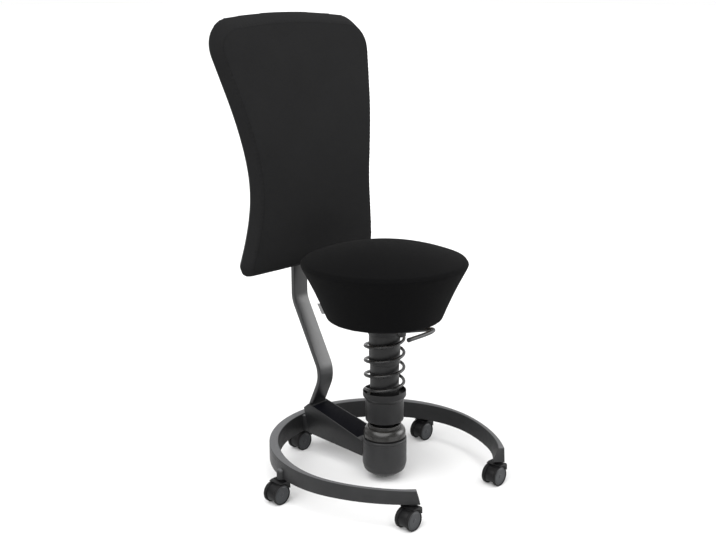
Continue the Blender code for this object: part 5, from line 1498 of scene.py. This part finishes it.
def make_back():
    """Shell behind the pad, the bent bar, and the block and screws between them."""
    piece("shell_moulded", shell_mesh(SHELL_TO), "shell", "base", ["backrest_shell"])
    bar = carved(prism(ribbon_outline(bar_route(), BAR_THICKNESS), lambda y: BAR_WIDTH / 2), edge=0.0026,
                 sharper_than=60, steps=4)
    piece("bar_bent", bar, "bar", "base", ["backrest_bar"])

    low = BACK_NEAREST_HEIGHT - MOUNT_HEIGHT / 2
    high = BACK_NEAREST_HEIGHT + MOUNT_HEIGHT / 2
    front = back_front_y(high) + 0.5 * (SHELL_FROM + SHELL_TO)
    rear = BAR_HIP_Y - BAR_THICKNESS / 2 - GAP
    mount = block((-MOUNT_HALF_WIDTH, front, low), (MOUNT_HALF_WIDTH, rear, high))
    mount = carved(mount, [("DIFFERENCE", shell_mesh(SHELL_TO + GAP))], 0.0030)
    piece("back_block", mount, "housing", "base", ["back_mount"])
    behind = BAR_HIP_Y + BAR_THICKNESS / 2 + GAP
    spots = [(0, behind, BACK_NEAREST_HEIGHT + side * BACK_BOLT_SPACING / 2) for side in (-1, 1)]
    heads = screw_heads(spots, BOLT_HEAD_RADIUS, BOLT_HEAD, (0, 1, 0))
    piece("back_screws", heads, None, "base", ["back_bolt_upper", "back_bolt_lower"])


# CAD nodes that stay, and the studio

def dress_hidden_parts():
    """Finishes for the inner parts that keep their CAD shape."""
    kept = {"foot_yoke": "steel", "pivot_cross": "steel", "column_knuckle": "steel", "piston_rod": "steel",
            "gas_cylinder": "sleeve", "tilt_buffer": "rubber"}
    for name, _, _ in castor_stems():
        kept[f"{name}_castor_axle"] = "steel"
    for node, look in kept.items():
        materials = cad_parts[node].data.materials
        materials.clear()
        materials.append(looks[look])


def make_studio():
    """Pale floor, soft light and the photograph's camera."""
    world = bpy.data.worlds.new("studio_white")
    world.use_nodes = True
    room = world.node_tree
    towards = add(room, "ShaderNodeTexCoord").outputs["Generated"]
    light = ROOM_LIGHT
    for aim, (edge, full), strength in ((BACKDROP_TOWARDS, BACKDROP_FADE, BACKDROP_LIGHT),
                                        (STRIP_TOWARDS, STRIP_FADE, STRIP_LIGHT)):
        dot = add(room, "ShaderNodeVectorMath", {0: towards, 1: aim}, operation="DOT_PRODUCT")
        along = dot.outputs["Value"]
        glow = add(room, "ShaderNodeMapRange", {0: along, 1: edge, 2: full, 3: 0.0, 4: strength},
                   interpolation_type="SMOOTHSTEP").outputs[0]
        light = calc(room, "ADD", glow, light)
    seen = add(room, "ShaderNodeLightPath").outputs["Is Camera Ray"]
    shown = add(room, "ShaderNodeMapRange", {0: seen, 3: light, 4: 1.0}).outputs[0]
    room.nodes["Background"].inputs["Color"].default_value = (1, 1, 1, 1)
    room.links.new(shown, room.nodes["Background"].inputs["Strength"])
    scene.world = world
    scene.view_settings.view_transform = "Standard"

    lamp = bpy.data.lights.new("wide_softbox", "SUN")
    lamp.energy = SOFTBOX_LIGHT
    lamp.angle = SOFTBOX_SPREAD
    softbox = linked("wide_softbox", lamp)
    softbox.rotation_euler = Vector(SOFTBOX_FROM).to_track_quat("Z", "Y").to_euler()

    paper, tree, shader = finish("studio_paper", 0.9, Specular_IOR_Level=0.0)
    two_tone(tree, shader, noise(tree, object_place(tree), 2.0), PAPER_DARK, PAPER_LIGHT)
    corners = [(x * PAPER_REACH, y * PAPER_REACH, FLOOR) for x, y in ((-1, -1), (1, -1), (1, 1), (-1, 1))]
    floor = temporary(closed_mesh(corners, [(0, 1, 2, 3)]))
    floor.name = "studio_floor"
    floor.data.materials.append(paper)

    lens = bpy.data.cameras.new("photograph_camera")
    lens.lens = CAMERA_LENS
    lens.sensor_width = CAMERA_SENSOR
    lens.shift_x = CAMERA_SHIFT
    camera = linked("photograph_camera", lens)
    camera.location = Vector(CAMERA_PLACE) + Vector((0, 0, FLOOR))
    camera.rotation_euler = (Vector(CAMERA_AIM) - Vector(CAMERA_PLACE)).to_track_quat("-Z", "Y").to_euler()
    scene.camera = camera


make_studio()
make_foot()
make_column()
make_spring()
make_seat()
make_lever()
make_ring()
make_arm()
make_castors()
make_pad()
make_back()
dress_hidden_parts()
